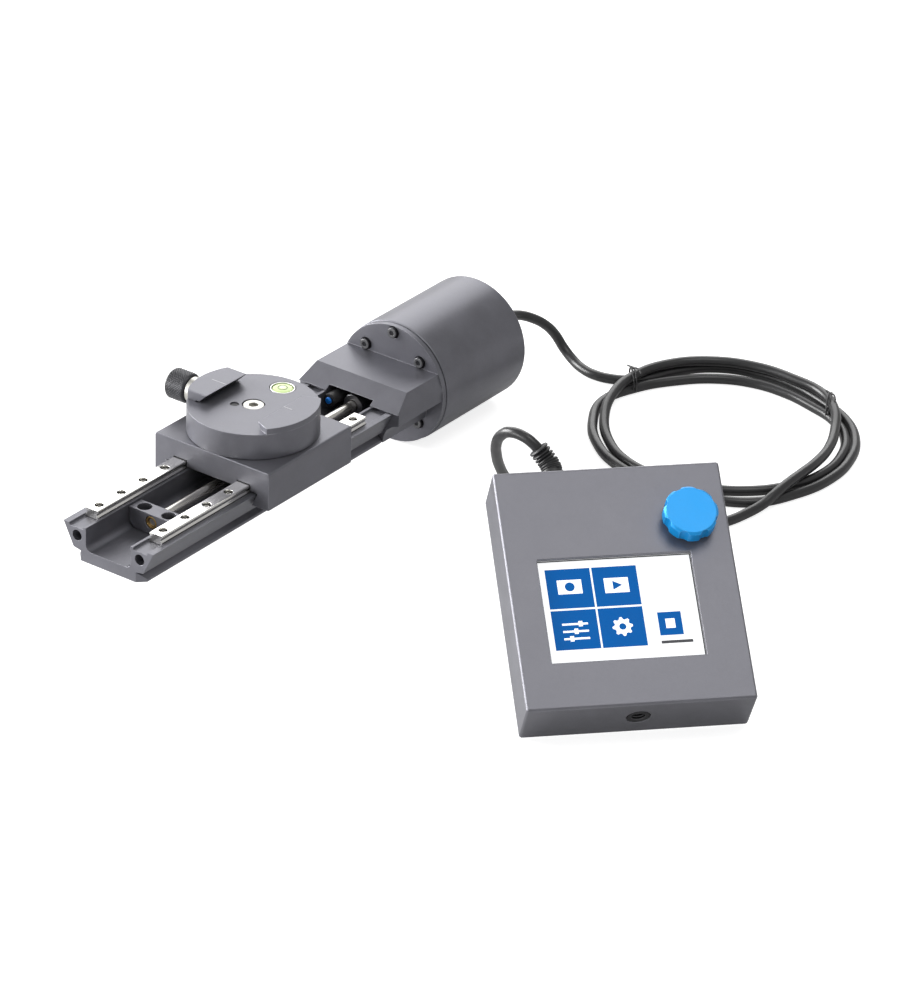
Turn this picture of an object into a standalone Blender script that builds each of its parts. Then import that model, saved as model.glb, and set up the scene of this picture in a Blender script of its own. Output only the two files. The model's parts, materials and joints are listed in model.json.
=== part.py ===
"""Motorised camera slider with its hand controller and connecting cable.

Row frame: metres, +X along the rail towards the motor, +Y to the left, +Z up.
The origin is on the dovetail foot's underside, below the first guide-rail screw.
Lengths below are in millimetres and MM turns them into metres.
"""

import math

import bmesh
import bpy
from mathutils import Matrix, Vector

MM = 0.001
GAP = 0.3
RUNNING_GAP = 0.05
PI = math.pi

# Rail profile
BASE_FRONT = -15.5
BASE_END = 155.6
BASE_TOP = 16.8
BASE_TOP_HALF = 25.2
SEAT_Z = 15.6
SEAT_HALF_IN = 14.2
SEAT_HALF_OUT = 21.7
CHANNEL_HALF = 12.6
CHANNEL_FLOOR = 5.7
CHANNEL_FILLET = 3.0
FLANGE_LOW_HALF = 19.6
FOOT_HALF = 19.0
FOOT_LIP = 1.3
NECK_HALF = 15.4
NECK_Z = 4.9
END_HOLE_Y = 17.55
END_HOLE_Z = 11.8
END_HOLE_R = 2.6
END_HOLE_DEPTH = 16.0

# Linear guides
GUIDE_Y = 17.95
GUIDE_WIDTH = 7.0
GUIDE_TOP = 20.2
GUIDE_START = -5.0
GUIDE_LENGTH = 145.5
GUIDE_PITCH = 15.0
GUIDE_SCREWS = 10
COUNTERBORE_R = 2.1
COUNTERBORE_DEPTH = 2.3
RUNNER_LENGTH = 22.5
RUNNER_WIDTH = 17.0
RUNNER_TOP = 23.4
RUNNER_BOTTOM = 17.1

# Screw drive, on the motor's axis
AXIS_Z = 11.72
SCREW_R = 2.5
JOURNAL_R = 2.0
SCREW_START = 14.6
JOURNAL_END = 24.0
SCREW_END = 169.0
SHAFT_END = 216.0
COUPLING_X = (158.5, 181.5)
COUPLING_R = 5.3
NUT_X = (85.0, 97.0)
BAR_X = (13.5, 21.6)
BAR_TOP = 15.9
BAR_SCREW_Y = 6.8
BAR_SCREW_R = 3.3

# Carriage
CARRIAGE_X = (55.56, 115.33)
CARRIAGE_HALF = 32.2
CARRIAGE_Z = (10.75, 29.2)
CARRIAGE_ROOF = 23.6
WALL = 3.0

# Quick-release clamp
CLAMP_X = 85.14
CLAMP_R = 29.9
CLAMP_Z = 29.5
CLAMP_FLOOR = 41.6
FIXED_JAW_TOP = 44.4
MOVING_JAW_TOP = 46.2
JAW_LIP = 15.2
FIXED_JAW_HALF = 16.2
JAW_END_SLANT = 3.2 / 7.5
RECESS_FLOOR = 38.3
HEX_FLOOR = 39.4
RING_Y = (30.1, 34.9)
KNOB_GRIP_Y = (35.2, 46.0)
MOVING_JAW_HALF = 14.3
JAW_LEG_Y = 21.5
JAW_LEG_Z = 31.0
CLAMP_SCREW_Z = 37.7
CLAMP_SCREW_R = 2.0
LEVEL_X = 106.1
LEVEL_R = 5.75
SET_SCREW = (80.0, 6.7)

# Motor end
BRACKET_X = (155.9, 188.6)
BRACKET_R = 29.2
FLANGE_END = 191.3
SPIGOT_R = 23.6
SPIGOT_END = 197.1
SHELL_X = (191.7, 253.25)
SHELL_R = 29.68
SHELL_BORE = 27.4
MOTOR_X = (197.4, 237.4)
MOTOR_SIDE = 42.3
MOTOR_SCREW = 15.5
SHELL_SCREW_RADIUS = 26.0
HEAD_R = 2.75
GLAND_END = 262.0

# Controller, in its own frame: X to the right, Y up its face, Z out of its face
FLOOR_Z = -18.0
CONTROLLER_CORNER = (7.6, -203.4, FLOOR_Z)
CONTROLLER_HEADING = -44.03
CONTROLLER_TILT = 33.54
CONTROLLER_W = 98.0
CONTROLLER_H = 112.3
CONTROLLER_D = 25.9
SHELL_WALL = 2.5
FRONT_WALL = 2.0
WINDOW_X = (13.5, 79.5)
WINDOW_Y = (21.5, 70.0)
KNOB_XY = (80.7, 84.7)
KNOB_R = 11.7
KNOB_Z = (27.2, 35.2)
THREAD_X = 48.9
THREAD_Z = 14.0
SOCKET_X = 28.4
SOCKET_Z = 13.0
STAND_HINGE = (49.0, 88.0, -3.0)
STAND_ANGLE = 68.0
STAND_LENGTH = 46.4
STAND_WIDTH = 50.0

# Cable
CORD_R = 2.4
COIL_CENTRE = (297.0, -119.0)
COIL_R = (44.0, 72.3)
COIL_TOP = -7.6
MOTOR_ROUTE = (
    (262.3, 0.0, 11.7), (270.0, 0.0, 11.7), (279.0, -0.3, 11.4), (286.8, -1.0, 9.6), (293.6, -4.0, 6.6),
    (300.2, -8.0, 1.6), (304.6, -11.0, -4.3), (305.6, -15.6, -10.4), (304.2, -22.4, -14.3),
    (301.2, -31.2, -15.55), (300.1, -38.4, -15.6), (300.9, -44.2, -15.6),
)
CONTROLLER_ROUTE = (
    (247.0, -174.2, -12.9), (240.0, -172.8, -14.7), (229.0, -170.6, -15.5), (218.3, -168.0, -15.6),
    (203.0, -160.6, -15.6), (190.0, -150.0, -15.6), (178.0, -137.4, -15.3), (167.0, -126.6, -13.0),
    (156.0, -118.8, -7.6), (145.0, -114.2, 1.6), (134.0, -112.2, 13.0), (123.2, -112.4, 25.6),
    (113.0, -115.2, 37.4), (104.0, -119.4, 48.6), (97.6, -123.6, 57.8), (93.4, -128.6, 65.2),
    (91.2, -134.6, 69.4), (90.8, -140.2, 68.9), (91.12, -143.55, 66.85),
)
RELIEF_ROUTE = (
    (91.4, -144.6, 66.2), (92.2, -147.6, 64.7), (92.9, -150.6, 63.2), (93.2, -153.2, 61.7),
    (92.9, -155.4, 60.2), (91.9, -157.0, 58.7),
)
ROUTE_STEP = 11.0


def start_clean():
    for obj in list(bpy.data.objects):
        bpy.data.objects.remove(obj, do_unlink=True)
    parts = bpy.data.collections.new("camera_slider")
    cutters = bpy.data.collections.new("cutters")
    bpy.context.scene.collection.children.link(parts)
    bpy.context.scene.collection.children.link(cutters)
    return parts, cutters


PARTS, CUTTERS = start_clean()


def material(name, colour, roughness, metallic=0.0):
    made = bpy.data.materials.new(name)
    made.use_nodes = True
    shader = made.node_tree.nodes["Principled BSDF"]
    shader.inputs["Base Color"].default_value = (*colour, 1.0)
    shader.inputs["Roughness"].default_value = roughness
    shader.inputs["Metallic"].default_value = metallic
    return made


def anodised(name):
    return material(name, (0.13, 0.13, 0.15), 0.42, 0.75)


def steel(name):
    return material(name, (0.78, 0.77, 0.74), 0.25, 1.0)


def black_steel(name):
    return material(name, (0.02, 0.02, 0.022), 0.4, 0.6)


def rubber(name):
    return material(name, (0.03, 0.03, 0.032), 0.45)


def node(name, mesh, finish, parent=None, origin=(0, 0, 0)):
    """A named part; origin is the point, in mm, that its mesh is measured from."""
    obj = bpy.data.objects.new(name, mesh)
    PARTS.objects.link(obj)
    obj.location = Vector(origin) * MM
    obj.parent = parent
    mesh.materials.clear()
    mesh.materials.append(finish)
    return obj


def cutter(name, mesh, parent=None):
    obj = bpy.data.objects.new("cut_" + name, mesh)
    CUTTERS.objects.link(obj)
    obj.hide_render = True
    obj.display_type = "WIRE"
    obj.parent = parent
    return obj


def boolean(obj, tool, operation="DIFFERENCE"):
    modifier = obj.modifiers.new(tool.name, "BOOLEAN")
    modifier.operation = operation
    modifier.solver = "EXACT"
    modifier.object = tool


def cut(obj, mesh, parent=None):
    boolean(obj, cutter(obj.name, mesh, parent))


def finish_mesh(work, name):
    bmesh.ops.recalc_face_normals(work, faces=work.faces)
    mesh = bpy.data.meshes.new(name)
    work.to_mesh(mesh)
    work.free()
    return mesh


def box(x, y, z):
    """A box mesh between the (low, high) pairs x, y and z."""
    work = bmesh.new()
    size = [(b - a) * MM for a, b in (x, y, z)]
    middle = Vector([(a + b) / 2 * MM for a, b in (x, y, z)])
    bmesh.ops.create_cube(work, size=1.0)
    bmesh.ops.scale(work, vec=size, verts=work.verts)
    bmesh.ops.translate(work, vec=middle, verts=work.verts)
    return finish_mesh(work, "box")


def turn_to(axis):
    """The rotation that takes +Z to the named axis."""
    return {"X": Matrix.Rotation(PI / 2, 4, "Y"), "Y": Matrix.Rotation(-PI / 2, 4, "X"), "Z": Matrix()}[axis]


def rod(centre, axis, radius, low, high, sides=24, top_radius=None):
    """A cylinder or cone along an axis, from low to high measured from centre."""
    work = bmesh.new()
    end = radius if top_radius is None else top_radius
    depth = (high - low) * MM
    bmesh.ops.create_cone(
        work, cap_ends=True, segments=sides, radius1=radius * MM, radius2=end * MM, depth=depth
    )
    bmesh.ops.translate(work, vec=(0, 0, (high + low) / 2 * MM), verts=work.verts)
    bmesh.ops.rotate(work, matrix=turn_to(axis).to_3x3(), verts=work.verts)
    bmesh.ops.translate(work, vec=Vector(centre) * MM, verts=work.verts)
    return finish_mesh(work, "rod")


def turned(centre, axis, profile, sides=32):
    """A closed (radius, height) outline spun all the way round an axis through centre."""
    work = bmesh.new()
    corners = [work.verts.new((r * MM, 0, h * MM)) for r, h in profile]
    edges = [work.edges.new((a, b)) for a, b in zip(corners, corners[1:] + corners[:1]) if a is not b]
    bmesh.ops.spin(
        work, geom=corners + edges, cent=(0, 0, 0), axis=(0, 0, 1), angle=2 * PI, steps=sides,
        use_merge=True,
    )
    bmesh.ops.remove_doubles(work, verts=work.verts, dist=1e-6)
    bmesh.ops.rotate(work, matrix=turn_to(axis).to_3x3(), verts=work.verts)
    bmesh.ops.translate(work, vec=Vector(centre) * MM, verts=work.verts)
    return finish_mesh(work, "turned")


def curve_to_mesh(curve, matrix=None):
    """The closed mesh of a curve, with its loose caps welded on."""
    holder = bpy.data.objects.new("curve", curve)
    PARTS.objects.link(holder)
    graph = bpy.context.evaluated_depsgraph_get()
    raw = bpy.data.meshes.new_from_object(holder.evaluated_get(graph))
    bpy.data.objects.remove(holder, do_unlink=True)
    work = bmesh.new()
    work.from_mesh(raw)
    bmesh.ops.remove_doubles(work, verts=work.verts, dist=1e-6)
    if matrix is not None:
        bmesh.ops.transform(work, matrix=matrix, verts=work.verts)
    return finish_mesh(work, curve.name)


def plate(outline, axis, low, high):
    """A flat outline given thickness along an axis.

    Along X the outline is (y, z), along Y it is (x, z), and along Z it is (x, y).
    """
    curve = bpy.data.curves.new("plate", "CURVE")
    curve.dimensions = "2D"
    curve.fill_mode = "BOTH"
    curve.extrude = (high - low) / 2 * MM
    line = curve.splines.new("POLY")
    line.points.add(len(outline) - 1)
    line.use_cyclic_u = True
    for point, (a, b) in zip(line.points, outline):
        point.co = (a * MM, b * MM, 0, 1)
    frames = {
        "X": Matrix(((0, 0, 1, 0), (1, 0, 0, 0), (0, 1, 0, 0), (0, 0, 0, 1))),
        "Y": Matrix(((1, 0, 0, 0), (0, 0, -1, 0), (0, 1, 0, 0), (0, 0, 0, 1))),
        "Z": Matrix(),
    }
    middle = (high + low) / 2 * MM
    shift = {"X": (middle, 0, 0), "Y": (0, middle, 0), "Z": (0, 0, middle)}[axis]
    return curve_to_mesh(curve, Matrix.Translation(shift) @ frames[axis])


def both_sides(half):
    """A closed outline from its half at positive y, listed from bottom to top."""
    return half + [(-y, z) for y, z in reversed(half) if y > 0]


def smooth_points(route, step):
    """Points read at even steps from a smooth curve through the route's own points."""
    points = [Vector(p) for p in route]
    ends = [points[0] * 2 - points[1]] + points + [points[-1] * 2 - points[-2]]
    fine = []
    for a, b, c, d in zip(ends, ends[1:], ends[2:], ends[3:]):
        for k in range(12):
            t = k / 12
            fine.append(
                0.5 * (2 * b + (c - a) * t + (2 * a - 5 * b + 4 * c - d) * t * t
                       + (3 * b - a - 3 * c + d) * t * t * t)
            )
    fine.append(points[-1])
    total = sum((b - a).length for a, b in zip(fine, fine[1:]))
    count = max(2, round(total / step))
    result, walked, target = [fine[0]], 0.0, total / count
    for a, b in zip(fine, fine[1:]):
        reach = (b - a).length
        while walked + reach >= target - 1e-6 and len(result) <= count:
            result.append(a.lerp(b, min(1.0, (target - walked) / max(reach, 1e-9))))
            target += total / count
        walked += reach
    result[-1] = points[-1]
    return result


def tube(route, radii, step, resolution=2):
    """A round tube along a route; radii runs evenly from its first point to its last."""
    points = smooth_points(route, step)
    curve = bpy.data.curves.new("tube", "CURVE")
    curve.dimensions = "3D"
    curve.bevel_depth = MM
    curve.bevel_resolution = resolution
    curve.use_fill_caps = True
    line = curve.splines.new("POLY")
    line.points.add(len(points) - 1)
    for k, (point, place) in enumerate(zip(line.points, points)):
        point.co = (*(place * MM), 1)
        point.radius = radii[0] + (radii[1] - radii[0]) * k / (len(points) - 1)
    return curve_to_mesh(curve)


# ---------------------------------------------------------------- rail and guides

def base_rail():
    fillet = [
        (CHANNEL_HALF - CHANNEL_FILLET * (1 - math.sin(a)), CHANNEL_FLOOR + CHANNEL_FILLET * (1 - math.cos(a)))
        for a in (0, PI / 8, PI / 4, 3 * PI / 8, PI / 2)
    ]
    outer = [
        (FOOT_HALF, 0), (FOOT_HALF, FOOT_LIP), (NECK_HALF, NECK_Z), (FLANGE_LOW_HALF, CHANNEL_FLOOR),
        (BASE_TOP_HALF, BASE_TOP), (SEAT_HALF_OUT + 0.3, BASE_TOP), (SEAT_HALF_OUT, SEAT_Z),
        (SEAT_HALF_IN, SEAT_Z), (SEAT_HALF_IN - 0.3, BASE_TOP), (CHANNEL_HALF, BASE_TOP),
    ]
    outline = both_sides(outer + fillet[::-1])
    rail = node("base_rail", plate(outline, "X", BASE_FRONT, BASE_END), anodised("rail_aluminium"))
    for side in (1, -1):
        for end, low, high in (("front", -1, END_HOLE_DEPTH), ("rear", -END_HOLE_DEPTH, 1)):
            x = BASE_FRONT if end == "front" else BASE_END
            cut(rail, rod((x, side * END_HOLE_Y, END_HOLE_Z), "X", END_HOLE_R, low, high, 16))
        corner = [
            (BASE_FRONT - 1, side * NECK_HALF - side), (BASE_FRONT + 4.1, side * (FOOT_HALF + 0.5)),
            (BASE_FRONT + 4.1, side * 30), (BASE_FRONT - 1, side * 30),
        ]
        cut(rail, plate(corner, "Z", -1, NECK_Z))
        cut(rail, rod((sum(BAR_X) / 2, side * BAR_SCREW_Y, 0), "Z", 1.8, 2.0, 7.0, 12))


def guide_rails():
    half = GUIDE_WIDTH / 2
    low = SEAT_Z + GAP / 2
    outline = both_sides([
        (half, low), (half, low + 1.2), (half - 0.7, low + 1.9), (half - 0.7, low + 2.7),
        (half, low + 3.3), (half, GUIDE_TOP - 0.3), (half - 0.3, GUIDE_TOP),
    ])
    for name, side in (("left", 1), ("right", -1)):
        shape = [(y + side * GUIDE_Y, z) for y, z in outline]
        rail = node(
            "guide_rail_" + name, plate(shape, "X", GUIDE_START, GUIDE_START + GUIDE_LENGTH),
            steel("guide_steel"),
        )
        for k in range(GUIDE_SCREWS):
            place = (k * GUIDE_PITCH, side * GUIDE_Y, GUIDE_TOP)
            cut(rail, rod(place, "Z", COUNTERBORE_R, -COUNTERBORE_DEPTH, 1, 12))


def front_bearing():
    """The cross-bar that carries the lead screw's front end, with its bush and two screws."""
    low = CHANNEL_FLOOR + GAP
    edge = CHANNEL_HALF - GAP
    outline = both_sides([(edge - CHANNEL_FILLET, low), (edge, low + CHANNEL_FILLET), (edge, BAR_TOP)])
    bar = node("front_bearing_block", plate(outline, "X", *BAR_X), anodised("bar_aluminium"))
    cut(bar, rod((0, 0, AXIS_Z), "X", 3.2, BAR_X[0] - 1, BAR_X[1] + 1, 20))
    length = BAR_X[1] - BAR_X[0]
    ring = [(JOURNAL_R + 0.1, 0.2), (2.95, 0.2), (2.95, length - 0.2), (JOURNAL_R + 0.1, length - 0.2)]
    node("front_bushing", turned((BAR_X[0], 0, AXIS_Z), "X", ring, 20), material("bronze", (0.45, 0.28, 0.1), 0.3, 1))
    for name, side in (("left", 1), ("right", -1)):
        place = (sum(BAR_X) / 2, side * BAR_SCREW_Y, 0)
        cut(bar, rod(place, "Z", BAR_SCREW_R, 9.5, BAR_TOP + 1, 16))
        cut(bar, rod(place, "Z", 1.9, 4, 10, 12))
        profile = [(0, 2.6), (1.5, 2.6), (1.5, 9.8), (2.9, 9.8), (2.9, 12.8), (0, 12.8)]
        node("bearing_screw_" + name, turned(place, "Z", profile, 12), black_steel("screw_black"))


# ---------------------------------------------------------------- screw drive

def screw_drive():
    axis = (0, 0, AXIS_Z)
    profile = [
        (0, SCREW_START), (JOURNAL_R, SCREW_START), (JOURNAL_R, JOURNAL_END), (SCREW_R, JOURNAL_END),
        (SCREW_R, SCREW_END), (0, SCREW_END),
    ]
    zero = (0, 0, 0)
    node("lead_screw", turned(zero, "X", profile, 24), steel("screw_steel"), origin=axis)
    bore = SCREW_R + 0.15
    sleeve = [(bore, COUPLING_X[0]), (COUPLING_R, COUPLING_X[0]), (COUPLING_R, COUPLING_X[1]), (bore, COUPLING_X[1])]
    node("shaft_coupling", turned(zero, "X", sleeve, 24), material("coupling_alloy", (0.5, 0.5, 0.52), 0.35, 1), origin=axis)
    node("motor_shaft", rod(zero, "X", SCREW_R, SCREW_END + 1, SHAFT_END, 24), steel("shaft_steel"), origin=axis)


def lead_nut():
    top = CARRIAGE_ROOF - GAP
    nut = node("lead_nut", box(NUT_X, (-8, 8), (6.3, top)), material("nut_brass", (0.6, 0.42, 0.15), 0.35, 1))
    hole = SCREW_R / math.cos(PI / 24) + RUNNING_GAP
    cut(nut, rod((0, 0, AXIS_Z), "X", hole, NUT_X[0] - 1, NUT_X[1] + 1, 24))


# ---------------------------------------------------------------- carriage

def carriage():
    low, high = CARRIAGE_Z
    flange_slope = (BASE_TOP_HALF - FLANGE_LOW_HALF) / (BASE_TOP - CHANNEL_FLOOR)
    inner_low = FLANGE_LOW_HALF + (low - CHANNEL_FLOOR) * flange_slope + 0.5
    groove_in = GUIDE_Y - GUIDE_WIDTH / 2 - 0.4
    groove_out = GUIDE_Y + GUIDE_WIDTH / 2 + 0.4
    half = [
        (groove_in, BASE_TOP + 0.5), (groove_in, GUIDE_TOP + 0.3), (groove_out, GUIDE_TOP + 0.3),
        (groove_out, BASE_TOP + 0.5), (BASE_TOP_HALF + 0.6, BASE_TOP + 0.5), (inner_low, low),
        (CARRIAGE_HALF, low), (CARRIAGE_HALF, high - 1.2), (CARRIAGE_HALF - 0.35, high - 0.35),
        (CARRIAGE_HALF - 1.2, high),
    ]
    body = node("carriage", plate(both_sides(half), "X", *CARRIAGE_X), anodised("carriage_aluminium"))
    inside = (CARRIAGE_X[0] + WALL, CARRIAGE_X[1] - WALL)
    cut(body, box(inside, (-27.2, 27.2), (low - 1, CARRIAGE_ROOF)))
    cut(body, rod((CLAMP_X, 0, 0), "Z", 3.3, CARRIAGE_ROOF - 1, high + 1, 20))


def runner_blocks():
    """Four recirculating runners, two on each guide."""
    half = RUNNER_WIDTH / 2
    slot = GUIDE_WIDTH / 2 + 0.3
    outline = [
        (slot, RUNNER_BOTTOM), (half, RUNNER_BOTTOM), (half, RUNNER_TOP), (-half, RUNNER_TOP),
        (-half, RUNNER_BOTTOM), (-slot, RUNNER_BOTTOM), (-slot, GUIDE_TOP + 0.3), (slot, GUIDE_TOP + 0.3),
    ]
    for end, x in (("front", 60.0), ("rear", 88.4)):
        for name, side in (("left", 1), ("right", -1)):
            shape = [(y + side * GUIDE_Y, z) for y, z in outline]
            node(
                f"runner_block_{end}_{name}", plate(shape, "X", x, x + RUNNER_LENGTH),
                steel("runner_steel"),
            )


# ---------------------------------------------------------------- quick-release clamp

def clamp_base():
    disc = rod((CLAMP_X, 0, 0), "Z", CLAMP_R, CLAMP_Z, CLAMP_FLOOR, 64)
    base = node("clamp_base", disc, anodised("clamp_aluminium"))
    slope = FIXED_JAW_TOP - CLAMP_FLOOR
    outside = -CLAMP_R - 2
    sunk = CLAMP_FLOOR - 0.5
    profile = [(-JAW_LIP - slope - 0.5, sunk), (-JAW_LIP, FIXED_JAW_TOP), (outside, FIXED_JAW_TOP), (outside, sunk)]
    jaw = cutter("fixed_jaw", plate(profile, "X", CLAMP_X - CLAMP_R, CLAMP_X + CLAMP_R))
    inner = -JAW_LIP + 4
    near = FIXED_JAW_HALF - JAW_END_SLANT * 4
    far = FIXED_JAW_HALF + JAW_END_SLANT * (-JAW_LIP - outside)
    plan = [(CLAMP_X - near, inner), (CLAMP_X - far, outside), (CLAMP_X + far, outside), (CLAMP_X + near, inner)]
    boolean(jaw, cutter("jaw_ends", plate(plan, "Z", CLAMP_Z, MOVING_JAW_TOP)), "INTERSECT")
    rim = rod((CLAMP_X, 0, 0), "Z", CLAMP_R - 0.01, CLAMP_Z, MOVING_JAW_TOP, 64)
    boolean(jaw, cutter("jaw_round", rim), "INTERSECT")
    boolean(base, jaw, "UNION")
    room = MOVING_JAW_HALF + GAP
    cut(base, box((CLAMP_X - room, CLAMP_X + room), (JAW_LEG_Y - 1.3, 40), (JAW_LEG_Z - GAP, 50)))
    cut(base, rod((CLAMP_X, 0, CLAMP_SCREW_Z), "Y", CLAMP_SCREW_R + 0.3, 7.5, 30, 16))
    cut(base, rod((CLAMP_X, 0, 0), "Z", 5.2, 37.0, 50, 24))
    cut(base, rod((CLAMP_X, 0, 0), "Z", 3.3, 20, 38, 20))
    cut(base, rod((LEVEL_X, 0, 0), "Z", LEVEL_R + GAP, RECESS_FLOOR, 50, 24))
    cut(base, rod((*SET_SCREW, 0), "Z", 2.1, RECESS_FLOOR, 50, 12))


def clamp_fittings():
    centre = (CLAMP_X, 0, 0)
    top = CLAMP_FLOOR - 0.2
    profile = [(0, 24.0), (3.0, 24.0), (3.0, 37.4), (4.9, 37.4), (4.9, top - 0.3), (4.6, top), (0, top)]
    screw = node("centre_screw", turned(centre, "Z", profile, 24), steel("centre_screw_steel"))
    cut(screw, rod(centre, "Z", 2.3, HEX_FLOOR, 43, 6))
    low = RECESS_FLOOR + GAP
    level = (LEVEL_X, 0, 0)
    cup = [(0, low), (LEVEL_R, low), (LEVEL_R, CLAMP_FLOOR), (5.1, CLAMP_FLOOR), (5.1, 39.4), (0, 39.4)]
    node("level_cup", turned(level, "Z", cup, 24), material("level_metal", (0.7, 0.7, 0.7), 0.3, 1))
    vial = [(0, 39.7), (4.8, 39.7), (4.8, 41.2), (3.4, 41.55), (0, 41.7)]
    node("level_vial", turned(level, "Z", vial, 24), material("level_liquid", (0.75, 0.85, 0.25), 0.1))
    dog = [(0, low), (1.8, low), (1.8, 41.2), (0, 41.2)]
    node("set_screw", turned((*SET_SCREW, 0), "Z", dog, 12), black_steel("set_screw_black"))


def moving_jaw():
    tip = MOVING_JAW_TOP - CLAMP_FLOOR - 0.4
    profile = [
        (JAW_LIP, MOVING_JAW_TOP), (JAW_LIP + tip, MOVING_JAW_TOP - tip), (JAW_LEG_Y, MOVING_JAW_TOP - tip),
        (JAW_LEG_Y, JAW_LEG_Z), (CLAMP_R + 2, JAW_LEG_Z), (CLAMP_R + 2, MOVING_JAW_TOP),
    ]
    shape = plate(profile, "X", CLAMP_X - MOVING_JAW_HALF, CLAMP_X + MOVING_JAW_HALF)
    jaw = node("moving_jaw", shape, anodised("jaw_aluminium"))
    boolean(jaw, cutter("jaw_outside", rod((CLAMP_X, 0, 0), "Z", CLAMP_R - 0.1, 20, 60, 64)), "INTERSECT")
    cut(jaw, rod((CLAMP_X, 0, CLAMP_SCREW_Z), "Y", CLAMP_SCREW_R + 0.3, 15, 40, 16))


def clamp_knob():
    axis = (CLAMP_X, 0, CLAMP_SCREW_Z)
    zero = (0, 0, 0)
    bore = CLAMP_SCREW_R + GAP
    node("clamp_screw", rod(zero, "Y", CLAMP_SCREW_R, 9.0, 38.0, 16), steel("clamp_screw_steel"), origin=axis)
    ring = [(bore, RING_Y[0]), (6.0, RING_Y[0]), (6.0, RING_Y[1]), (bore, RING_Y[1])]
    node("knob_ring", turned(zero, "Y", ring, 32), steel("ring_steel"), origin=axis)
    low, high = KNOB_GRIP_Y
    grip = [(0, high), (6.2, high), (7.0, high - 0.8), (7.0, low + 0.8), (6.4, low), (bore, low), (bore, 38.4), (0, 38.4)]
    node("clamp_knob", turned(zero, "Y", grip, 32), anodised("knob_aluminium"), origin=axis)


# ---------------------------------------------------------------- motor end

def motor_bracket():
    half = [
        (19.6, 0.2), (20.1, 4.0), (21.6, 7.2), (24.5, 9.6), (28.5, 11.2), (28.5, 17.2), (25.8, 24.2),
    ]
    lip = 1.2
    hood_front = BRACKET_X[0] - lip
    body = node(
        "motor_bracket", plate(both_sides(half), "X", hood_front, BRACKET_X[1] + 0.5), anodised("bracket_aluminium")
    )
    slope = [(hood_front - 3, 17.3), (hood_front, 17.3), (hood_front + 10.3, 24.21), (hood_front + 10.3, 30), (hood_front - 3, 30)]
    cut(body, plate(slope, "Y", -40, 40))
    cut(body, box((hood_front - 3, BRACKET_X[0]), (-40, 40), (-5, 17.2)))
    flange = cutter("flange", rod((0, 0, AXIS_Z), "X", BRACKET_R, BRACKET_X[1], FLANGE_END, 64))
    boolean(flange, cutter("spigot", rod((0, 0, AXIS_Z), "X", SPIGOT_R, FLANGE_END - 0.5, SPIGOT_END, 48)), "UNION")
    boolean(body, flange, "UNION")
    cut(body, box((BRACKET_X[0] - 9, 184.5), (-CHANNEL_HALF, CHANNEL_HALF), (CHANNEL_FLOOR, 19.0)))
    cut(body, rod((0, 0, AXIS_Z), "X", 8.0, 184, SPIGOT_END + 1, 24))
    for y, z in motor_screw_places() + [(0, SHELL_SCREW_RADIUS)]:
        place = (0, y, AXIS_Z + z)
        cut(body, rod(place, "X", 3.05, BRACKET_X[1] - 2, BRACKET_X[1] + 2.0, 16))
        cut(body, rod(place, "X", 1.55, BRACKET_X[1], SPIGOT_END + 1, 12))
    for side in (1, -1):
        place = (0, side * END_HOLE_Y, END_HOLE_Z)
        cut(body, rod(place, "X", 2.6, BRACKET_X[0] - 1, 163, 16))
        cut(body, rod(place, "X", 4.4, 162, SPIGOT_END + 1, 16))


def motor_screw_places():
    return [(y * MOTOR_SCREW, z * MOTOR_SCREW) for z in (1, -1) for y in (1, -1)]


def motor_fasteners():
    """Four screws hold the motor, one holds its shell and two hold the bracket on the rail."""
    names = ("upper_left", "upper_right", "lower_left", "lower_right")
    head = BRACKET_X[1] + 1.7
    for name, (y, z) in zip(names, motor_screw_places()):
        profile = [
            (0, head - 3.0), (HEAD_R, head - 3.0), (HEAD_R, head), (1.3, head), (1.3, MOTOR_X[0] + 3), (0, MOTOR_X[0] + 3),
        ]
        node("motor_screw_" + name, turned((0, y, AXIS_Z + z), "X", profile, 14), black_steel("motor_screw_black"))
    profile = [(0, head - 3.0), (HEAD_R, head - 3.0), (HEAD_R, head), (1.3, head), (1.3, 194.5), (0, 194.5)]
    node("shell_screw", turned((0, 0, AXIS_Z + SHELL_SCREW_RADIUS), "X", profile, 14), black_steel("shell_screw_black"))
    for name, side in (("left", 1), ("right", -1)):
        place = (0, side * END_HOLE_Y, END_HOLE_Z)
        profile = [(0, 143.0), (2.2, 143.0), (2.2, 163.4), (4.0, 163.4), (4.0, 167.4), (0, 167.4)]
        node("bracket_screw_" + name, turned(place, "X", profile, 14), black_steel("bracket_screw_black"))


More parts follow.
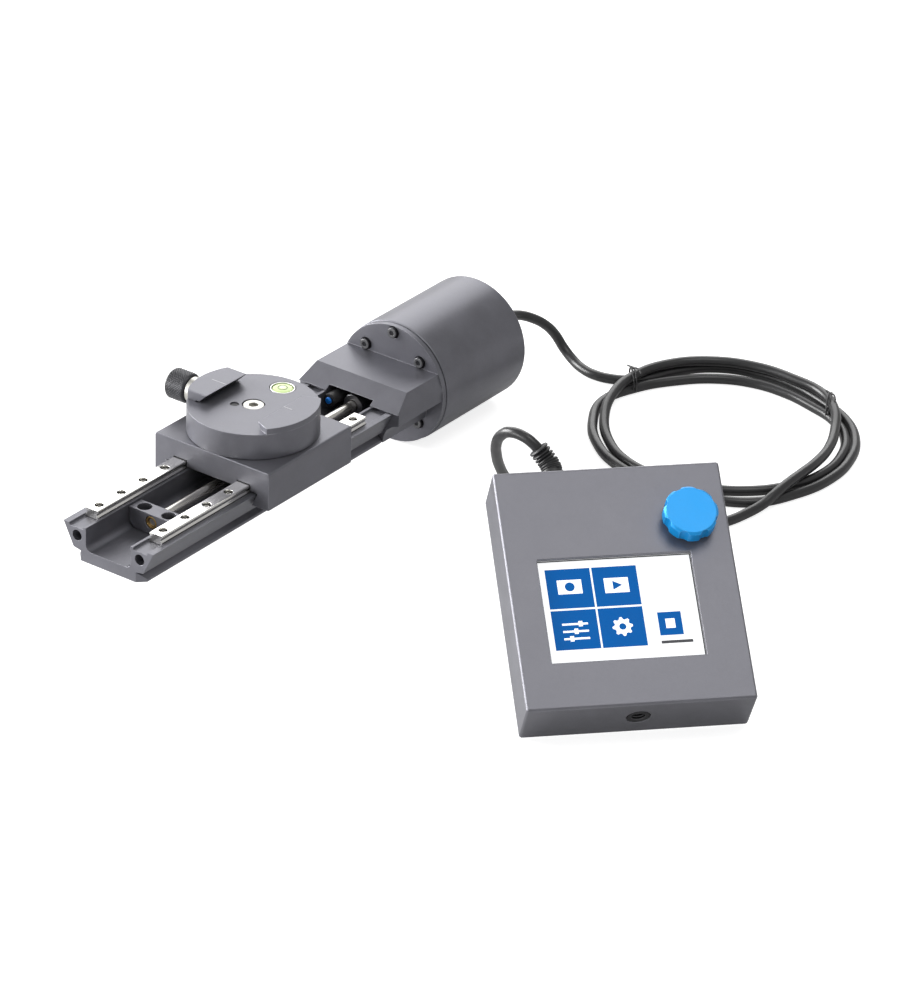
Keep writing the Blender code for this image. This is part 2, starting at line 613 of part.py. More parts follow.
def motor():
    low, high = (AXIS_Z - MOTOR_SIDE / 2, AXIS_Z + MOTOR_SIDE / 2)
    half = MOTOR_SIDE / 2
    outline = both_sides([
        (half - 5, low), (half, low + 5), (half, high - 5), (half - 5, high),
    ])
    body = node("motor", plate(outline, "X", *MOTOR_X), black_steel("motor_steel"))
    cut(body, rod((0, 0, AXIS_Z), "X", SCREW_R + 0.4, MOTOR_X[0] - 1, SHAFT_END + 2, 16))
    for y, z in motor_screw_places():
        cut(body, rod((0, y, AXIS_Z + z), "X", 1.7, MOTOR_X[0] - 1, MOTOR_X[0] + 4, 10))
    inner_land = SPIGOT_R + GAP
    shell = [
        (inner_land, SHELL_X[0]), (SHELL_R - 0.3, SHELL_X[0]), (SHELL_R, SHELL_X[0] + 0.3),
        (SHELL_R, SHELL_X[1] - 0.6), (SHELL_R - 0.6, SHELL_X[1]), (SHELL_BORE, SHELL_X[1]),
        (SHELL_BORE, MOTOR_X[0] - 0.6), (inner_land, MOTOR_X[0] - 0.6),
    ]
    housing = node("motor_shell", turned((0, 0, AXIS_Z), "X", shell, 64), anodised("shell_aluminium"))
    cut(housing, rod((0, 0, AXIS_Z + SHELL_SCREW_RADIUS), "X", 1.7, SHELL_X[0] - 1, 195.2, 12))
    hole = 4.3
    lid = [(hole, SHELL_X[1] - 3.2), (SHELL_BORE - GAP, SHELL_X[1] - 3.2), (SHELL_BORE - GAP, SHELL_X[1] - 0.2), (hole, SHELL_X[1] - 0.2)]
    node("rear_cover", turned((0, 0, AXIS_Z), "X", lid, 48), anodised("cover_aluminium"))
    gland = [
        (0, 248.0), (4.0, 248.0), (4.0, 253.4), (6.2, 253.4), (6.2, 256.0), (4.6, 256.6), (3.6, GLAND_END), (0, GLAND_END),
    ]
    node("cable_gland", turned((0, 0, AXIS_Z), "X", gland, 24), rubber("gland_rubber"))


def end_stop():
    """A buffer beside the lead screw, just under the hood, on a small mounting block."""
    place = (0, 8.9, 14.0)
    sleeve = [(0, 152.6), (3.1, 152.6), (3.1, 165.0), (0, 165.0)]
    node("end_stop", turned(place, "X", sleeve, 20), black_steel("end_stop_black"))
    tip = [(0, 151.2), (1.3, 151.2), (1.65, 151.6), (1.65, 152.3), (0, 152.3)]
    node("end_stop_buffer", turned(place, "X", tip, 16), material("buffer_blue", (0.02, 0.1, 0.55), 0.3))
    node("end_stop_mount", box((165.3, 169.0), (6.2, 12.2), (10.8, 18.7)), anodised("mount_aluminium"))


# ---------------------------------------------------------------- controller

def controller_frame():
    frame = bpy.data.objects.new("controller_frame", None)
    PARTS.objects.link(frame)
    turn = Matrix.Rotation(math.radians(CONTROLLER_HEADING), 4, "Z")
    tilt = Matrix.Rotation(math.radians(CONTROLLER_TILT), 4, "X")
    frame.matrix_world = Matrix.Translation(Vector(CONTROLLER_CORNER) * MM) @ turn @ tilt
    return frame


def controller_case(frame):
    w, h, d = CONTROLLER_W, CONTROLLER_H, CONTROLLER_D
    case = node("controller_case", box((0, w), (0, h), (0, d)), anodised("case_aluminium"), frame)
    bevel = case.modifiers.new("edges", "BEVEL")
    bevel.width = 0.8 * MM
    bevel.segments = 1
    wall = SHELL_WALL
    cut(case, box((wall, w - wall), (wall, h - wall), (-1, d - FRONT_WALL)), frame)
    cut(case, box(WINDOW_X, WINDOW_Y, (d - 5, d + 1)), frame)
    cut(case, rod((*KNOB_XY, 0), "Z", 3.8, d - 5, d + 1, 16), frame)
    cut(case, rod((THREAD_X, 0, THREAD_Z), "Y", 5.2, -1, wall + 1, 20), frame)
    cut(case, rod((SOCKET_X, h, SOCKET_Z), "Y", 5.4, -wall - 1, 1, 20), frame)
    inner = wall + GAP
    back = node(
        "controller_back", box((inner, w - inner), (inner, h - inner), (0.2, 2.4)), anodised("back_aluminium"), frame
    )
    for x, y in back_screw_places():
        cut(back, rod((x, y, 0), "Z", 2.5, -1, 1.3, 12), frame)
        cut(back, rod((x, y, 0), "Z", 1.3, 1, 4, 12), frame)


def back_screw_places():
    return [(x, y) for x in (9.0, CONTROLLER_W - 9.0) for y in (9.0, CONTROLLER_H - 9.0)]


def controller_display(frame):
    top = CONTROLLER_D - FRONT_WALL - GAP
    face = material("screen", (0.8, 0.8, 0.8), 0.2)
    node("display_panel", box((10.5, 82.5), (17.5, 73.5), (top - 3.2, top)), face, frame)
    board = material("circuit_green", (0.02, 0.16, 0.06), 0.5)
    node("circuit_board", box((6, 92), (14, 98), (14.8, 16.4)), board, frame)
    block = node("encoder", box((KNOB_XY[0] - 6.5, KNOB_XY[0] + 6.5), (KNOB_XY[1] - 6.5, KNOB_XY[1] + 6.5), (16.8, 23.4)), black_steel("encoder_body"), frame)
    cut(block, rod((*KNOB_XY, 0), "Z", 3.3, 18.5, 25, 16), frame)


def control_knob(frame):
    zero = (0, 0, 0)
    low, high = KNOB_Z
    place = (*KNOB_XY, 0)
    shaft = rod(zero, "Z", 3.0, 19.0, high - 3.2, 16)
    node("encoder_shaft", shaft, steel("encoder_steel"), frame, place)
    profile = [
        (3.3, low), (9.6, low), (KNOB_R, low + 1.6), (KNOB_R, high - 1.0), (KNOB_R - 1.0, high), (0, high),
        (0, high - 2.8), (3.3, high - 2.8),
    ]
    knob = node("control_knob", turned(zero, "Z", profile, 48), material("knob_blue", (0.0, 0.35, 0.75), 0.35, 0.6), frame, place)
    for k in range(8):
        angle = 2 * PI * (k + 0.5) / 8
        notch = rod((13.6 * math.cos(angle), 13.6 * math.sin(angle), 0), "Z", 3.0, low - 1, high + 1, 12)
        tool = cutter("notch", notch, frame)
        tool.location = Vector(place) * MM
        boolean(knob, tool)


def controller_sockets(frame):
    insert = [(3.2, 0.1), (4.9, 0.1), (4.9, 12.0), (3.2, 12.0)]
    node("tripod_insert", turned((THREAD_X, 0, THREAD_Z), "Y", insert, 20), steel("insert_steel"), frame)
    h = CONTROLLER_H
    socket = [(0, h - 12), (5.1, h - 12), (5.1, h + 0.2), (4.7, h + 0.2), (4.7, h - 5), (0, h - 5)]
    node("cable_socket", turned((SOCKET_X, 0, SOCKET_Z), "Y", socket, 24), material("socket_metal", (0.5, 0.5, 0.5), 0.3, 1), frame)
    plug = [(0, h - 4.7), (4.3, h - 4.7), (4.3, h + 0.8), (5.0, h + 0.8), (5.0, h + 5.4), (0, h + 5.4)]
    node("cable_plug", turned((SOCKET_X, 0, SOCKET_Z), "Y", plug, 24), rubber("plug_rubber"), frame)


def support_leg(frame):
    """A fold-out leg on the back, drawn open; its object's origin is on its hinge axis."""
    zero = (0, 0, 0)
    half = STAND_WIDTH / 2
    angle = math.radians(STAND_ANGLE)
    leg_mesh = plate([(-half, 0.0), (half, 0.0), (half - 5, -STAND_LENGTH), (-half + 5, -STAND_LENGTH)], "Z", -1.0, 1.0)
    leg = node("support_leg", leg_mesh, anodised("leg_aluminium"), frame, STAND_HINGE)
    leg.rotation_euler = (angle, 0, 0)
    barrel = cutter("leg_barrel", rod(zero, "X", 2.4, -half, half, 16), frame)
    barrel.location = leg.location
    boolean(leg, barrel, "UNION")
    bore = cutter("leg_bore", rod(zero, "X", 1.3, -half - 1, half + 1, 16), frame)
    bore.location = leg.location
    boolean(leg, bore)
    node("leg_pin", rod(STAND_HINGE, "X", 1.2, -half - 5, half + 5, 16), steel("pin_steel"), frame)
    for name, side in (("left", -1), ("right", 1)):
        x = STAND_HINGE[0] + side * (half + 3.0)
        y, z = STAND_HINGE[1:]
        lug = node(
            "leg_hinge_" + name, box((x - 2.4, x + 2.4), (y - 3.5, y + 3.5), (z - 2.8, -0.1)), anodised("lug_aluminium"), frame
        )
        cut(lug, rod((x, y, z), "X", 1.5, -4, 4, 16), frame)


# ---------------------------------------------------------------- cable

def cable():
    node("cord_motor_end", tube(MOTOR_ROUTE, (CORD_R, CORD_R), ROUTE_STEP), rubber("cord_rubber"))
    inner, outer = COIL_R
    ring = [
        (inner, FLOOR_Z + 2), (inner + 2, FLOOR_Z), (outer - 2, FLOOR_Z), (outer, FLOOR_Z + 2),
        (outer, COIL_TOP - 2), (outer - 2, COIL_TOP), (inner + 2, COIL_TOP), (inner, COIL_TOP - 2),
    ]
    node("cord_coil", turned((*COIL_CENTRE, 0), "Z", ring, 40), rubber("coil_rubber"))
    node("cord_controller_end", tube(CONTROLLER_ROUTE, (CORD_R, CORD_R), ROUTE_STEP), rubber("cord_rubber"))
    node("strain_relief", tube(RELIEF_ROUTE, (2.7, 4.2), 5.0), rubber("relief_rubber"))


base_rail()
guide_rails()
front_bearing()
screw_drive()
lead_nut()
carriage()
runner_blocks()
clamp_base()
clamp_fittings()
moving_jaw()
clamp_knob()
motor_bracket()
motor_fasteners()
motor()
end_stop()
CONTROLLER = controller_frame()
controller_case(CONTROLLER)
controller_display(CONTROLLER)
control_knob(CONTROLLER)
controller_sockets(CONTROLLER)
support_leg(CONTROLLER)
cable()
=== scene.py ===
"""Looks of a motorised camera slider: a short dovetail rail with two linear guides, a lead screw and a
clamp carriage, a round motor housing, and a touchscreen controller on a coiled cable. Metres, with +X
towards the motor."""

import json
import math

import bmesh
import bpy
from mathutils import Matrix, Vector

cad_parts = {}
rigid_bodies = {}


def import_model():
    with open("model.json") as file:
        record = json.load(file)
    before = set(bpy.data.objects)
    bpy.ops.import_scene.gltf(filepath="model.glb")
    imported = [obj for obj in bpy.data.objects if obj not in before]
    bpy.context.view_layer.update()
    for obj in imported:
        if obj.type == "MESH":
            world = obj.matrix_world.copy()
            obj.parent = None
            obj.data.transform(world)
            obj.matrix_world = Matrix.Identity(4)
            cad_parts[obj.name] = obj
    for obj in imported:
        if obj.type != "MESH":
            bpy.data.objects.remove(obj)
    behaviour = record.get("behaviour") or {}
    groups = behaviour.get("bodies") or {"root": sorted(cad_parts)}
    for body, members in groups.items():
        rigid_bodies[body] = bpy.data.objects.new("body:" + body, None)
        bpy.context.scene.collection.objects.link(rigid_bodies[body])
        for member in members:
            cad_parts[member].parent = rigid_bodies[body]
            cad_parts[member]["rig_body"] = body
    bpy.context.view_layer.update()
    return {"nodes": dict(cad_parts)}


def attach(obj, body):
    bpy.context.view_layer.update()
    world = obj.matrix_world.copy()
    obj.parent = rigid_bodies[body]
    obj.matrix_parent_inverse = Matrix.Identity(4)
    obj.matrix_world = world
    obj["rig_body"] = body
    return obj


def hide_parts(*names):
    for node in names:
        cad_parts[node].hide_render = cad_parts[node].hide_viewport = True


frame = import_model()

# ---- Camera, light and floor ---------------------------------------------------------------------
# A long lens looks down along the rail from its free end. A big soft lamp stands on the left, a weaker one
# above, and a plain pale floor lies under the controller and the coil. The rail is held up by its foot.
FLOOR_Z = -0.018
scene = bpy.context.scene
camera_data = bpy.data.cameras.new("camera")
camera_data.lens = 195.42
camera_data.sensor_fit = "HORIZONTAL"
camera_data.sensor_width = 36
camera_data.clip_end = 20
camera = bpy.data.objects.new("camera", camera_data)
camera_axes = Matrix((
    (0.59312, 0.36713, -0.71654, -1.43386),
    (-0.80461, 0.30173, -0.51143, -1.19305),
    (0.02844, 0.87987, 0.47435, 1.03612),
    (0, 0, 0, 1),
))
camera.matrix_world = camera_axes
scene.collection.objects.link(camera)
scene.camera = camera
scene.view_settings.view_transform = "Standard"

world = bpy.data.worlds.new("studio")
world.use_nodes = True
world.node_tree.nodes["Background"].inputs["Color"].default_value = (1, 1, 1, 1)
world.node_tree.nodes["Background"].inputs["Strength"].default_value = 0.5
scene.world = world


def lamp(name, place, aim, size, power):
    """A square soft lamp at a place, turned to face a point."""
    data = bpy.data.lights.new(name, "AREA")
    data.shape = "SQUARE"
    data.size = size
    data.energy = power
    made = bpy.data.objects.new(name, data)
    made.location = place
    made.rotation_euler = (Vector(aim) - Vector(place)).to_track_quat("-Z", "Y").to_euler()
    scene.collection.objects.link(made)
    return made


lamp("left_lamp", (-0.45, 1.75, 0.55), (0.12, -0.05, 0), 1.1, 66)
lamp("back_lamp", (1.55, 0.97, 0.98), (0.12, -0.05, 0), 1.5, 18)
lamp("front_lamp", (-1.5, 0.75, 0.25), (0.12, -0.05, 0), 0.8, 17)
lamp("top_lamp", (0.1, -0.6, 1.7), (0.12, -0.1, 0), 0.8, 7)

floor_mesh = bpy.data.meshes.new("floor")
FLOOR_HALF = 6
floor_corners = [(x * FLOOR_HALF, y * FLOOR_HALF, FLOOR_Z) for x, y in ((-1, -1), (1, -1), (1, 1), (-1, 1))]
floor_mesh.from_pydata(floor_corners, [], [(0, 1, 2, 3)])
floor = bpy.data.objects.new("floor", floor_mesh)
scene.collection.objects.link(floor)
floor_material = bpy.data.materials.new("pale_floor")
floor_material.use_nodes = True
floor_shader = floor_material.node_tree.nodes["Principled BSDF"]
floor_shader.inputs["Base Color"].default_value = (0.62, 0.62, 0.62, 1)
floor_shader.inputs["Roughness"].default_value = 0.9
floor_shader.inputs["Specular IOR Level"].default_value = 0
floor_shader.inputs["Emission Color"].default_value = (1, 1, 1, 1)
seen = floor_material.node_tree.nodes.new("ShaderNodeLightPath")
glow = floor_material.node_tree.nodes.new("ShaderNodeMapRange")
glow.inputs["To Min"].default_value = 0.12
glow.inputs["To Max"].default_value = 0.78
floor_material.node_tree.links.new(seen.outputs["Is Camera Ray"], glow.inputs["Value"])
floor_material.node_tree.links.new(glow.outputs["Result"], floor_shader.inputs["Emission Strength"])
floor_mesh.materials.append(floor_material)


# ---- Cable ---------------------------------------------------------------------------------------
# One round black cable with a matt PVC jacket. It leaves the gland behind the motor, drops to the floor,
# lies in about two and a half turns, and rises to the plug in the controller's upper edge.
def put(tree, kind, inputs=None, **settings):
    """Adds a node, sets its properties, and links or sets its inputs."""
    made = tree.nodes.new(kind)
    for key, value in settings.items():
        setattr(made, key, value)
    for key, value in (inputs or {}).items():
        if isinstance(value, bpy.types.NodeSocket):
            tree.links.new(value, made.inputs[key])
        else:
            made.inputs[key].default_value = value
    return made


def group(name, inputs, outputs):
    """An empty shader group with its sockets, and its two end nodes."""
    tree = bpy.data.node_groups.new(name, "ShaderNodeTree")
    for socket, kind, value in inputs:
        made = tree.interface.new_socket(socket, in_out="INPUT", socket_type=kind)
        if value is not None:
            made.default_value = value
    for socket, kind in outputs:
        tree.interface.new_socket(socket, in_out="OUTPUT", socket_type=kind)
    return tree, tree.nodes.new("NodeGroupInput"), tree.nodes.new("NodeGroupOutput")


# Fine grain: small dents for blasted metal and moulded plastic, and slow blotches of tone.
grain_tree, grain_in, grain_out = group(
    "fine_grain",
    [("Vector", "NodeSocketVector", None), ("Scale", "NodeSocketFloat", 9000),
     ("Depth", "NodeSocketFloat", 0.00002),
     ("Normal", "NodeSocketVector", None)],
    [("Tone", "NodeSocketFloat"), ("Normal", "NodeSocketVector")])
dents = put(grain_tree, "ShaderNodeTexNoise", {
    "Vector": grain_in.outputs["Vector"], "Scale": grain_in.outputs["Scale"],
    "Detail": 3, "Roughness": 0.6})
blotches = put(grain_tree, "ShaderNodeTexNoise", {
    "Vector": grain_in.outputs["Vector"], "Scale": 70, "Detail": 4, "Roughness": 0.6})
both_tones = put(grain_tree, "ShaderNodeMath", {0: dents.outputs["Fac"], 1: blotches.outputs["Fac"]},
                 operation="ADD")
half_tone = put(grain_tree, "ShaderNodeMath", {0: both_tones.outputs[0], 1: 0.5}, operation="MULTIPLY")
dent_bump = put(grain_tree, "ShaderNodeBump", {
    "Strength": 0.5, "Distance": grain_in.outputs["Depth"], "Height": dents.outputs["Fac"],
    "Normal": grain_in.outputs["Normal"]})
grain_tree.links.new(half_tone.outputs[0], grain_out.inputs["Tone"])
grain_tree.links.new(dent_bump.outputs["Normal"], grain_out.inputs["Normal"])

# Rounded edges: a normal that rolls over each edge, and a mask that is 1 along it.
edge_tree, edge_in, edge_out = group(
    "rounded_edges",
    [("Radius", "NodeSocketFloat", 0.0003)],
    [("Mask", "NodeSocketFloat"), ("Normal", "NodeSocketVector")])
rolled = put(edge_tree, "ShaderNodeBevel", {"Radius": edge_in.outputs["Radius"]}, samples=4)
flat_normal = put(edge_tree, "ShaderNodeNewGeometry")
likeness = put(edge_tree, "ShaderNodeVectorMath", {
    0: rolled.outputs["Normal"], 1: flat_normal.outputs["Normal"]}, operation="DOT_PRODUCT")
edge_mask = put(edge_tree, "ShaderNodeMapRange", {
    "Value": likeness.outputs["Value"], "From Min": 0.995, "From Max": 0.86, "To Min": 0, "To Max": 1})
edge_tree.links.new(edge_mask.outputs["Result"], edge_out.inputs["Mask"])
edge_tree.links.new(rolled.outputs["Normal"], edge_out.inputs["Normal"])


def finish_of(name, colour, metallic, roughness, grain=9000, depth=0.00002, spread=0.12, edge=None,
              radius=0.0003,
              stretch=None, specular=0.5, glow=0.0):
    """A grainy material. spread is how far the tone varies, edge is the colour laid along the edges, partly
    wear and partly painted highlight where the rounded edges catch the light, and stretch is the grain's
    scale along each axis."""
    made = bpy.data.materials.new(name)
    made.use_nodes = True
    tree = made.node_tree
    shader = tree.nodes["Principled BSDF"]
    place = put(tree, "ShaderNodeTexCoord").outputs["Object"]
    if stretch:
        place = put(tree, "ShaderNodeMapping", {"Vector": place, "Scale": stretch}).outputs["Vector"]
    edges = put(tree, "ShaderNodeGroup", node_tree=edge_tree)
    edges.inputs["Radius"].default_value = radius
    speckle = put(tree, "ShaderNodeGroup", {}, node_tree=grain_tree)
    tree.links.new(place, speckle.inputs["Vector"])
    tree.links.new(edges.outputs["Normal"], speckle.inputs["Normal"])
    speckle.inputs["Scale"].default_value = grain
    speckle.inputs["Depth"].default_value = depth
    tone = put(tree, "ShaderNodeValToRGB", {"Fac": speckle.outputs["Tone"]})
    tone.color_ramp.elements[0].position = 0.36
    tone.color_ramp.elements[1].position = 0.64
    tone.color_ramp.elements[0].color = [c * (1 - spread) for c in colour] + [1]
    tone.color_ramp.elements[1].color = [min(1, c * (1 + spread)) for c in colour] + [1]
    last = tone.outputs["Color"]
    # Lighter colour along the edges: partly wear, partly painted highlight on the rounded edges.
    if edge:
        edge_wear_and_highlight = put(tree, "ShaderNodeMix", {"Factor": edges.outputs["Mask"], 6: last, 7: (*edge, 1)},
                   data_type="RGBA")
        last = edge_wear_and_highlight.outputs[2]
    tree.links.new(last, shader.inputs["Base Color"])
    rough = put(tree, "ShaderNodeMapRange", {
        "Value": speckle.outputs["Tone"], "From Min": 0.3, "From Max": 0.7,
        "To Min": roughness * 0.85, "To Max": min(1, roughness * 1.15)})
    tree.links.new(rough.outputs["Result"], shader.inputs["Roughness"])
    tree.links.new(speckle.outputs["Normal"], shader.inputs["Normal"])
    shader.inputs["Metallic"].default_value = metallic
    shader.inputs["Specular IOR Level"].default_value = specular
    if glow:
        tree.links.new(last, shader.inputs["Emission Color"])
        shader.inputs["Emission Strength"].default_value = glow
    return made


def link_mesh(name, mesh, material):
    """A new object at the origin with this mesh and material."""
    made = bpy.data.objects.new(name, mesh)
    made.data.materials.clear()
    made.data.materials.append(material)
    scene.collection.objects.link(made)
    return made


def follow(piece, node, *others):
    """The piece rides with a CAD node's body and stands for it and others."""
    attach(piece, frame["nodes"][node]["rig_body"])
    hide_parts(node, *others)
    return piece


def dressed(node, name, material, width=0.0, angle=32, segments=2):
    """A copy of a CAD node's mesh, welded, flat faces joined, edges over an angle rounded by a width."""
    shape = bmesh.new()
    shape.from_mesh(frame["nodes"][node].data)
    bmesh.ops.remove_doubles(shape, verts=shape.verts, dist=2e-6)
    bmesh.ops.dissolve_limit(shape, angle_limit=math.radians(0.4), verts=shape.verts, edges=shape.edges)
    bmesh.ops.recalc_face_normals(shape, faces=shape.faces)
    mesh = bpy.data.meshes.new(name)
    shape.to_mesh(mesh)
    shape.free()
    piece = link_mesh(name, mesh, material)
    if width:
        rounding = piece.modifiers.new("rounding", "BEVEL")
        rounding.width = width
        rounding.segments = segments
        rounding.limit_method = "ANGLE"
        rounding.angle_limit = math.radians(angle)
        rounding.use_clamp_overlap = True
        bake(piece)
    level_faces(piece, angle + 15)
    return follow(piece, node)


def level_faces(piece, angle):
    """Smooth shading that keeps large flat faces flat."""
    piece.data.shade_smooth()
    piece.data.set_sharp_from_angle(angle=math.radians(angle))
    weighted = piece.modifiers.new("level", "WEIGHTED_NORMAL")
    weighted.keep_sharp = True
    weighted.weight = 90
    bake(piece)


def bake(piece):
    """Turns an object's modifiers into its mesh."""
    graph = bpy.context.evaluated_depsgraph_get()
    mesh = bpy.data.meshes.new_from_object(piece.evaluated_get(graph))
    piece.modifiers.clear()
    piece.data = mesh
    return piece


CORD_RADIUS = 0.0024
MM = 0.001
cord_to_floor = [
    (258.5, 0, 11.7), (264, 0, 11.7), (270, 0, 11.7), (279, -0.3, 11.4), (286.8, -1, 9.6),
    (293.6, -4, 6.6), (300.2, -8, 1.6), (304.6, -11, -4.3), (305.6, -15.6, -10.4),
    (304.2, -22.4, -14.3), (301.2, -31.2, -15.55), (300.1, -38.4, -15.6), (301.2, -45.2, -15.6),
    (305.6, -53.4, -15.6), (313.4, -59.9, -15.6),
]
cord_to_plug = [
    (270, -173.9, -10.7), (258, -174.1, -10.9), (247, -173.8, -12.5), (240, -172.8, -14.4),
    (229, -170.6, -15.5), (218.3, -168, -15.6), (203, -160.6, -15.6), (190, -150, -15.6),
    (178, -137.4, -15.3), (167, -126.6, -13), (156, -118.8, -7.6), (145, -114.2, 1.6),
    (134, -112.2, 13), (123.2, -112.4, 25.6), (113, -115.2, 37.4), (104, -119.4, 48.6),
    (97.6, -123.6, 57.8), (93.4, -128.6, 65.2), (91.0, -135.4, 70.2), (90.8, -143.0, 70.4),
    (91.4, -147.8, 68.0), (92.2, -150.6, 65.2), (92.8, -152.6, 62.8),
]
# The coil turns clockwise seen from above. The list gives how far out from its centre the cable lies at
# even steps, measured and then rounded. The last turn climbs over the others.
COIL_CENTRE = (293, -119.5)
COIL_START = 61
COIL_STEP = 20
coil_reach = [
    63.6, 65.0, 61.9, 58.0, 55.7, 57.2, 58.9, 60.8, 63.5, 66.9, 70.8, 67.8, 65.6, 65.3, 64.3, 63.9,
    64.2, 59.2, 55.1, 53.4, 51.6, 49.3, 48.5, 51.4, 54.2, 56.0, 58.0, 59.1, 59.8, 59.4, 59.1, 59.4,
    58.4, 58.6, 60.0, 62.2, 63.8, 62.6, 59.6, 56.2, 55.4, 51.9, 49.2, 49.9, 54.0,
]
coil_height = [0] * 32 + [0.3, 1.8, 4.0] + [4.8] * 7 + [3.6, 3.4, 4.5]
coil = []
for step, (reach, height) in enumerate(zip(coil_reach, coil_height)):
    angle = math.radians(COIL_START - COIL_STEP * step)
    across = COIL_CENTRE[0] + reach * math.cos(angle)
    along = COIL_CENTRE[1] + reach * math.sin(angle)
    coil.append((across, along, -15.6 + height))
cord_route = [Vector(point) * MM for point in cord_to_floor + coil + cord_to_plug]

cord_curve = bpy.data.curves.new("cable", "CURVE")
cord_curve.dimensions = "3D"
cord_curve.bevel_depth = CORD_RADIUS
cord_curve.bevel_resolution = 5
cord_curve.resolution_u = 8
cord_curve.use_fill_caps = True
cord_spline = cord_curve.splines.new("BEZIER")
cord_spline.bezier_points.add(len(cord_route) - 1)
for knot, point in zip(cord_spline.bezier_points, cord_route):
    knot.co = point
    knot.handle_left_type = "AUTO"
    knot.handle_right_type = "AUTO"
jacket = finish_of("cable_jacket", (0.020, 0.020, 0.021), 0, 0.34, grain=2600, depth=0.00001, spread=0.2)
cord = link_mesh("cable", cord_curve, jacket)
follow(cord, "cord_motor_end", "cord_coil", "cord_controller_end")

# Two wire ties hold the coil. Each is a thin plastic-coated wire wound round the bundle, its ends twisted
# together.
TIE_RADIUS = 0.00042
tie_coating = finish_of("tie_coating", (0.02, 0.02, 0.021), 0, 0.42, grain=4000, depth=0.00002)
TIE_TAILS = ((6, 6.6, -2), (2, 7.4, 0.4), (-1, 8.0, 2.2), (-4, 7.0, 3.2))
TIES = (("tie_far", (303.4, -57.6), -48, 7.6, 3.6), ("tie_near", (340.6, -144.2), -62, 8.6, 3.8))
for tie_name, centre, heading, half_width, rise in TIES:
    tie_curve = bpy.data.curves.new(tie_name, "CURVE")
    tie_curve.dimensions = "3D"
    tie_curve.bevel_depth = TIE_RADIUS
    tie_curve.bevel_resolution = 3
    tie_curve.use_fill_caps = True
    along = Vector((math.cos(math.radians(heading)), math.sin(math.radians(heading)), 0))
    across = Vector((-along.y, along.x, 0))
    middle = Vector((centre[0], centre[1], -13.6))
    for turn in range(2):
        tie_spline = tie_curve.splines.new("BEZIER")
        tie_spline.bezier_points.add(9)
        lean = along * (1.3 * turn - 0.6)
        for index, knot in enumerate(tie_spline.bezier_points):
            way = math.radians(36 * index + 18)
            bulge = 1 + 0.05 * math.sin(3 * way + turn)
            knot.co = (middle + lean + across * half_width * bulge * math.cos(way)
                       + Vector((0, 0, (rise + 1.2) * math.sin(way) + 0.6))) * MM
            knot.co.z = max(knot.co.z, FLOOR_Z + TIE_RADIUS)
            knot.handle_left_type = "AUTO"
            knot.handle_right_type = "AUTO"
        tie_spline.use_cyclic_u = True
    tails = tie_curve.splines.new("BEZIER")
    tails.bezier_points.add(3)
    for knot, (out, up, forth) in zip(tails.bezier_points, TIE_TAILS):
        knot.co = (Vector((centre[0], centre[1], up - 15)) + across * out + along * forth) * MM
        knot.handle_left_type = "AUTO"
        knot.handle_right_type = "AUTO"
    tie = link_mesh(tie_name, tie_curve, tie_coating)
    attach(tie, "base")

# The gland on the rear cover is black moulded nylon with a hexagonal foot and a tapering neck.
moulded = finish_of("moulded_nylon", (0.018, 0.018, 0.019), 0, 0.45, grain=3500, depth=0.00003, spread=0.2)
dressed("cable_gland", "gland", moulded, 0.0002)

# The plug is black moulded plastic. Its strain relief is a short bent sleeve with raised rings, moulded in
# the same plastic.
plug = dressed("cable_plug", "plug", moulded, 0.0003)
relief_line = [(91.9, -149.8, 66.2), (92.6, -152.2, 63.4), (92.8, -154.4, 61.3), (92.5, -156.0, 59.8),
               (91.9, -157.2, 58.6)]
rib_shape = bmesh.new()
RIB_PROFILE = ((-0.8, 3.3), (-0.55, 4.3), (0, 4.6), (0.55, 4.3), (0.8, 3.3))
RIB_SIDES = 32
sleeve_rings = []
for step in range(len(relief_line) * 2 - 1):
    start = Vector(relief_line[min(step // 2, len(relief_line) - 2)])
    end = Vector(relief_line[min(step // 2, len(relief_line) - 2) + 1])
    centre = start.lerp(end, (step % 2) / 2 if step < 2 * len(relief_line) - 2 else 1)
    facing = (end - start).to_track_quat("Z", "Y")
    for out, radius in RIB_PROFILE:
        ways = [2 * math.pi * k / RIB_SIDES for k in range(RIB_SIDES)]
        rim = [Vector((radius * math.cos(way), radius * math.sin(way), out)) for way in ways]
        sleeve_rings.append([rib_shape.verts.new((centre + facing @ point) * MM) for point in rim])
for low_loop, high_loop in zip(sleeve_rings, sleeve_rings[1:]):
    for k in range(RIB_SIDES):
        after = (k + 1) % RIB_SIDES
        rib_shape.faces.new((low_loop[k], low_loop[after], high_loop[after], high_loop[k]))
rib_shape.faces.new(list(reversed(sleeve_rings[0])))
rib_shape.faces.new(sleeve_rings[-1])
rib_mesh = bpy.data.meshes.new("relief_ribs")
rib_shape.to_mesh(rib_mesh)
rib_shape.free()
relief = link_mesh("relief_sleeve", rib_mesh, moulded)
level_faces(relief, 50)
follow(relief, "strain_relief")


# ---- Rail ----------------------------------------------------------------------------------------
# The rail is one extruded aluminium bar with a dovetail foot, fine bead-blasted and anodised blue-grey. Its
# long channel is milled. Small screws hold the guides to its two seats.
ANODISED = (0.155, 0.155, 0.175)
# The lighter edge colour is partly wear and partly painted highlight along the rounded edges.
ANODISED_EDGE = (0.25, 0.25, 0.275)
rail_coating = finish_of("rail_anodising", ANODISED, 0.65, 0.42, edge=ANODISED_EDGE, radius=0.00035)
dressed("base_rail", "rail", rail_coating, 0.0003)

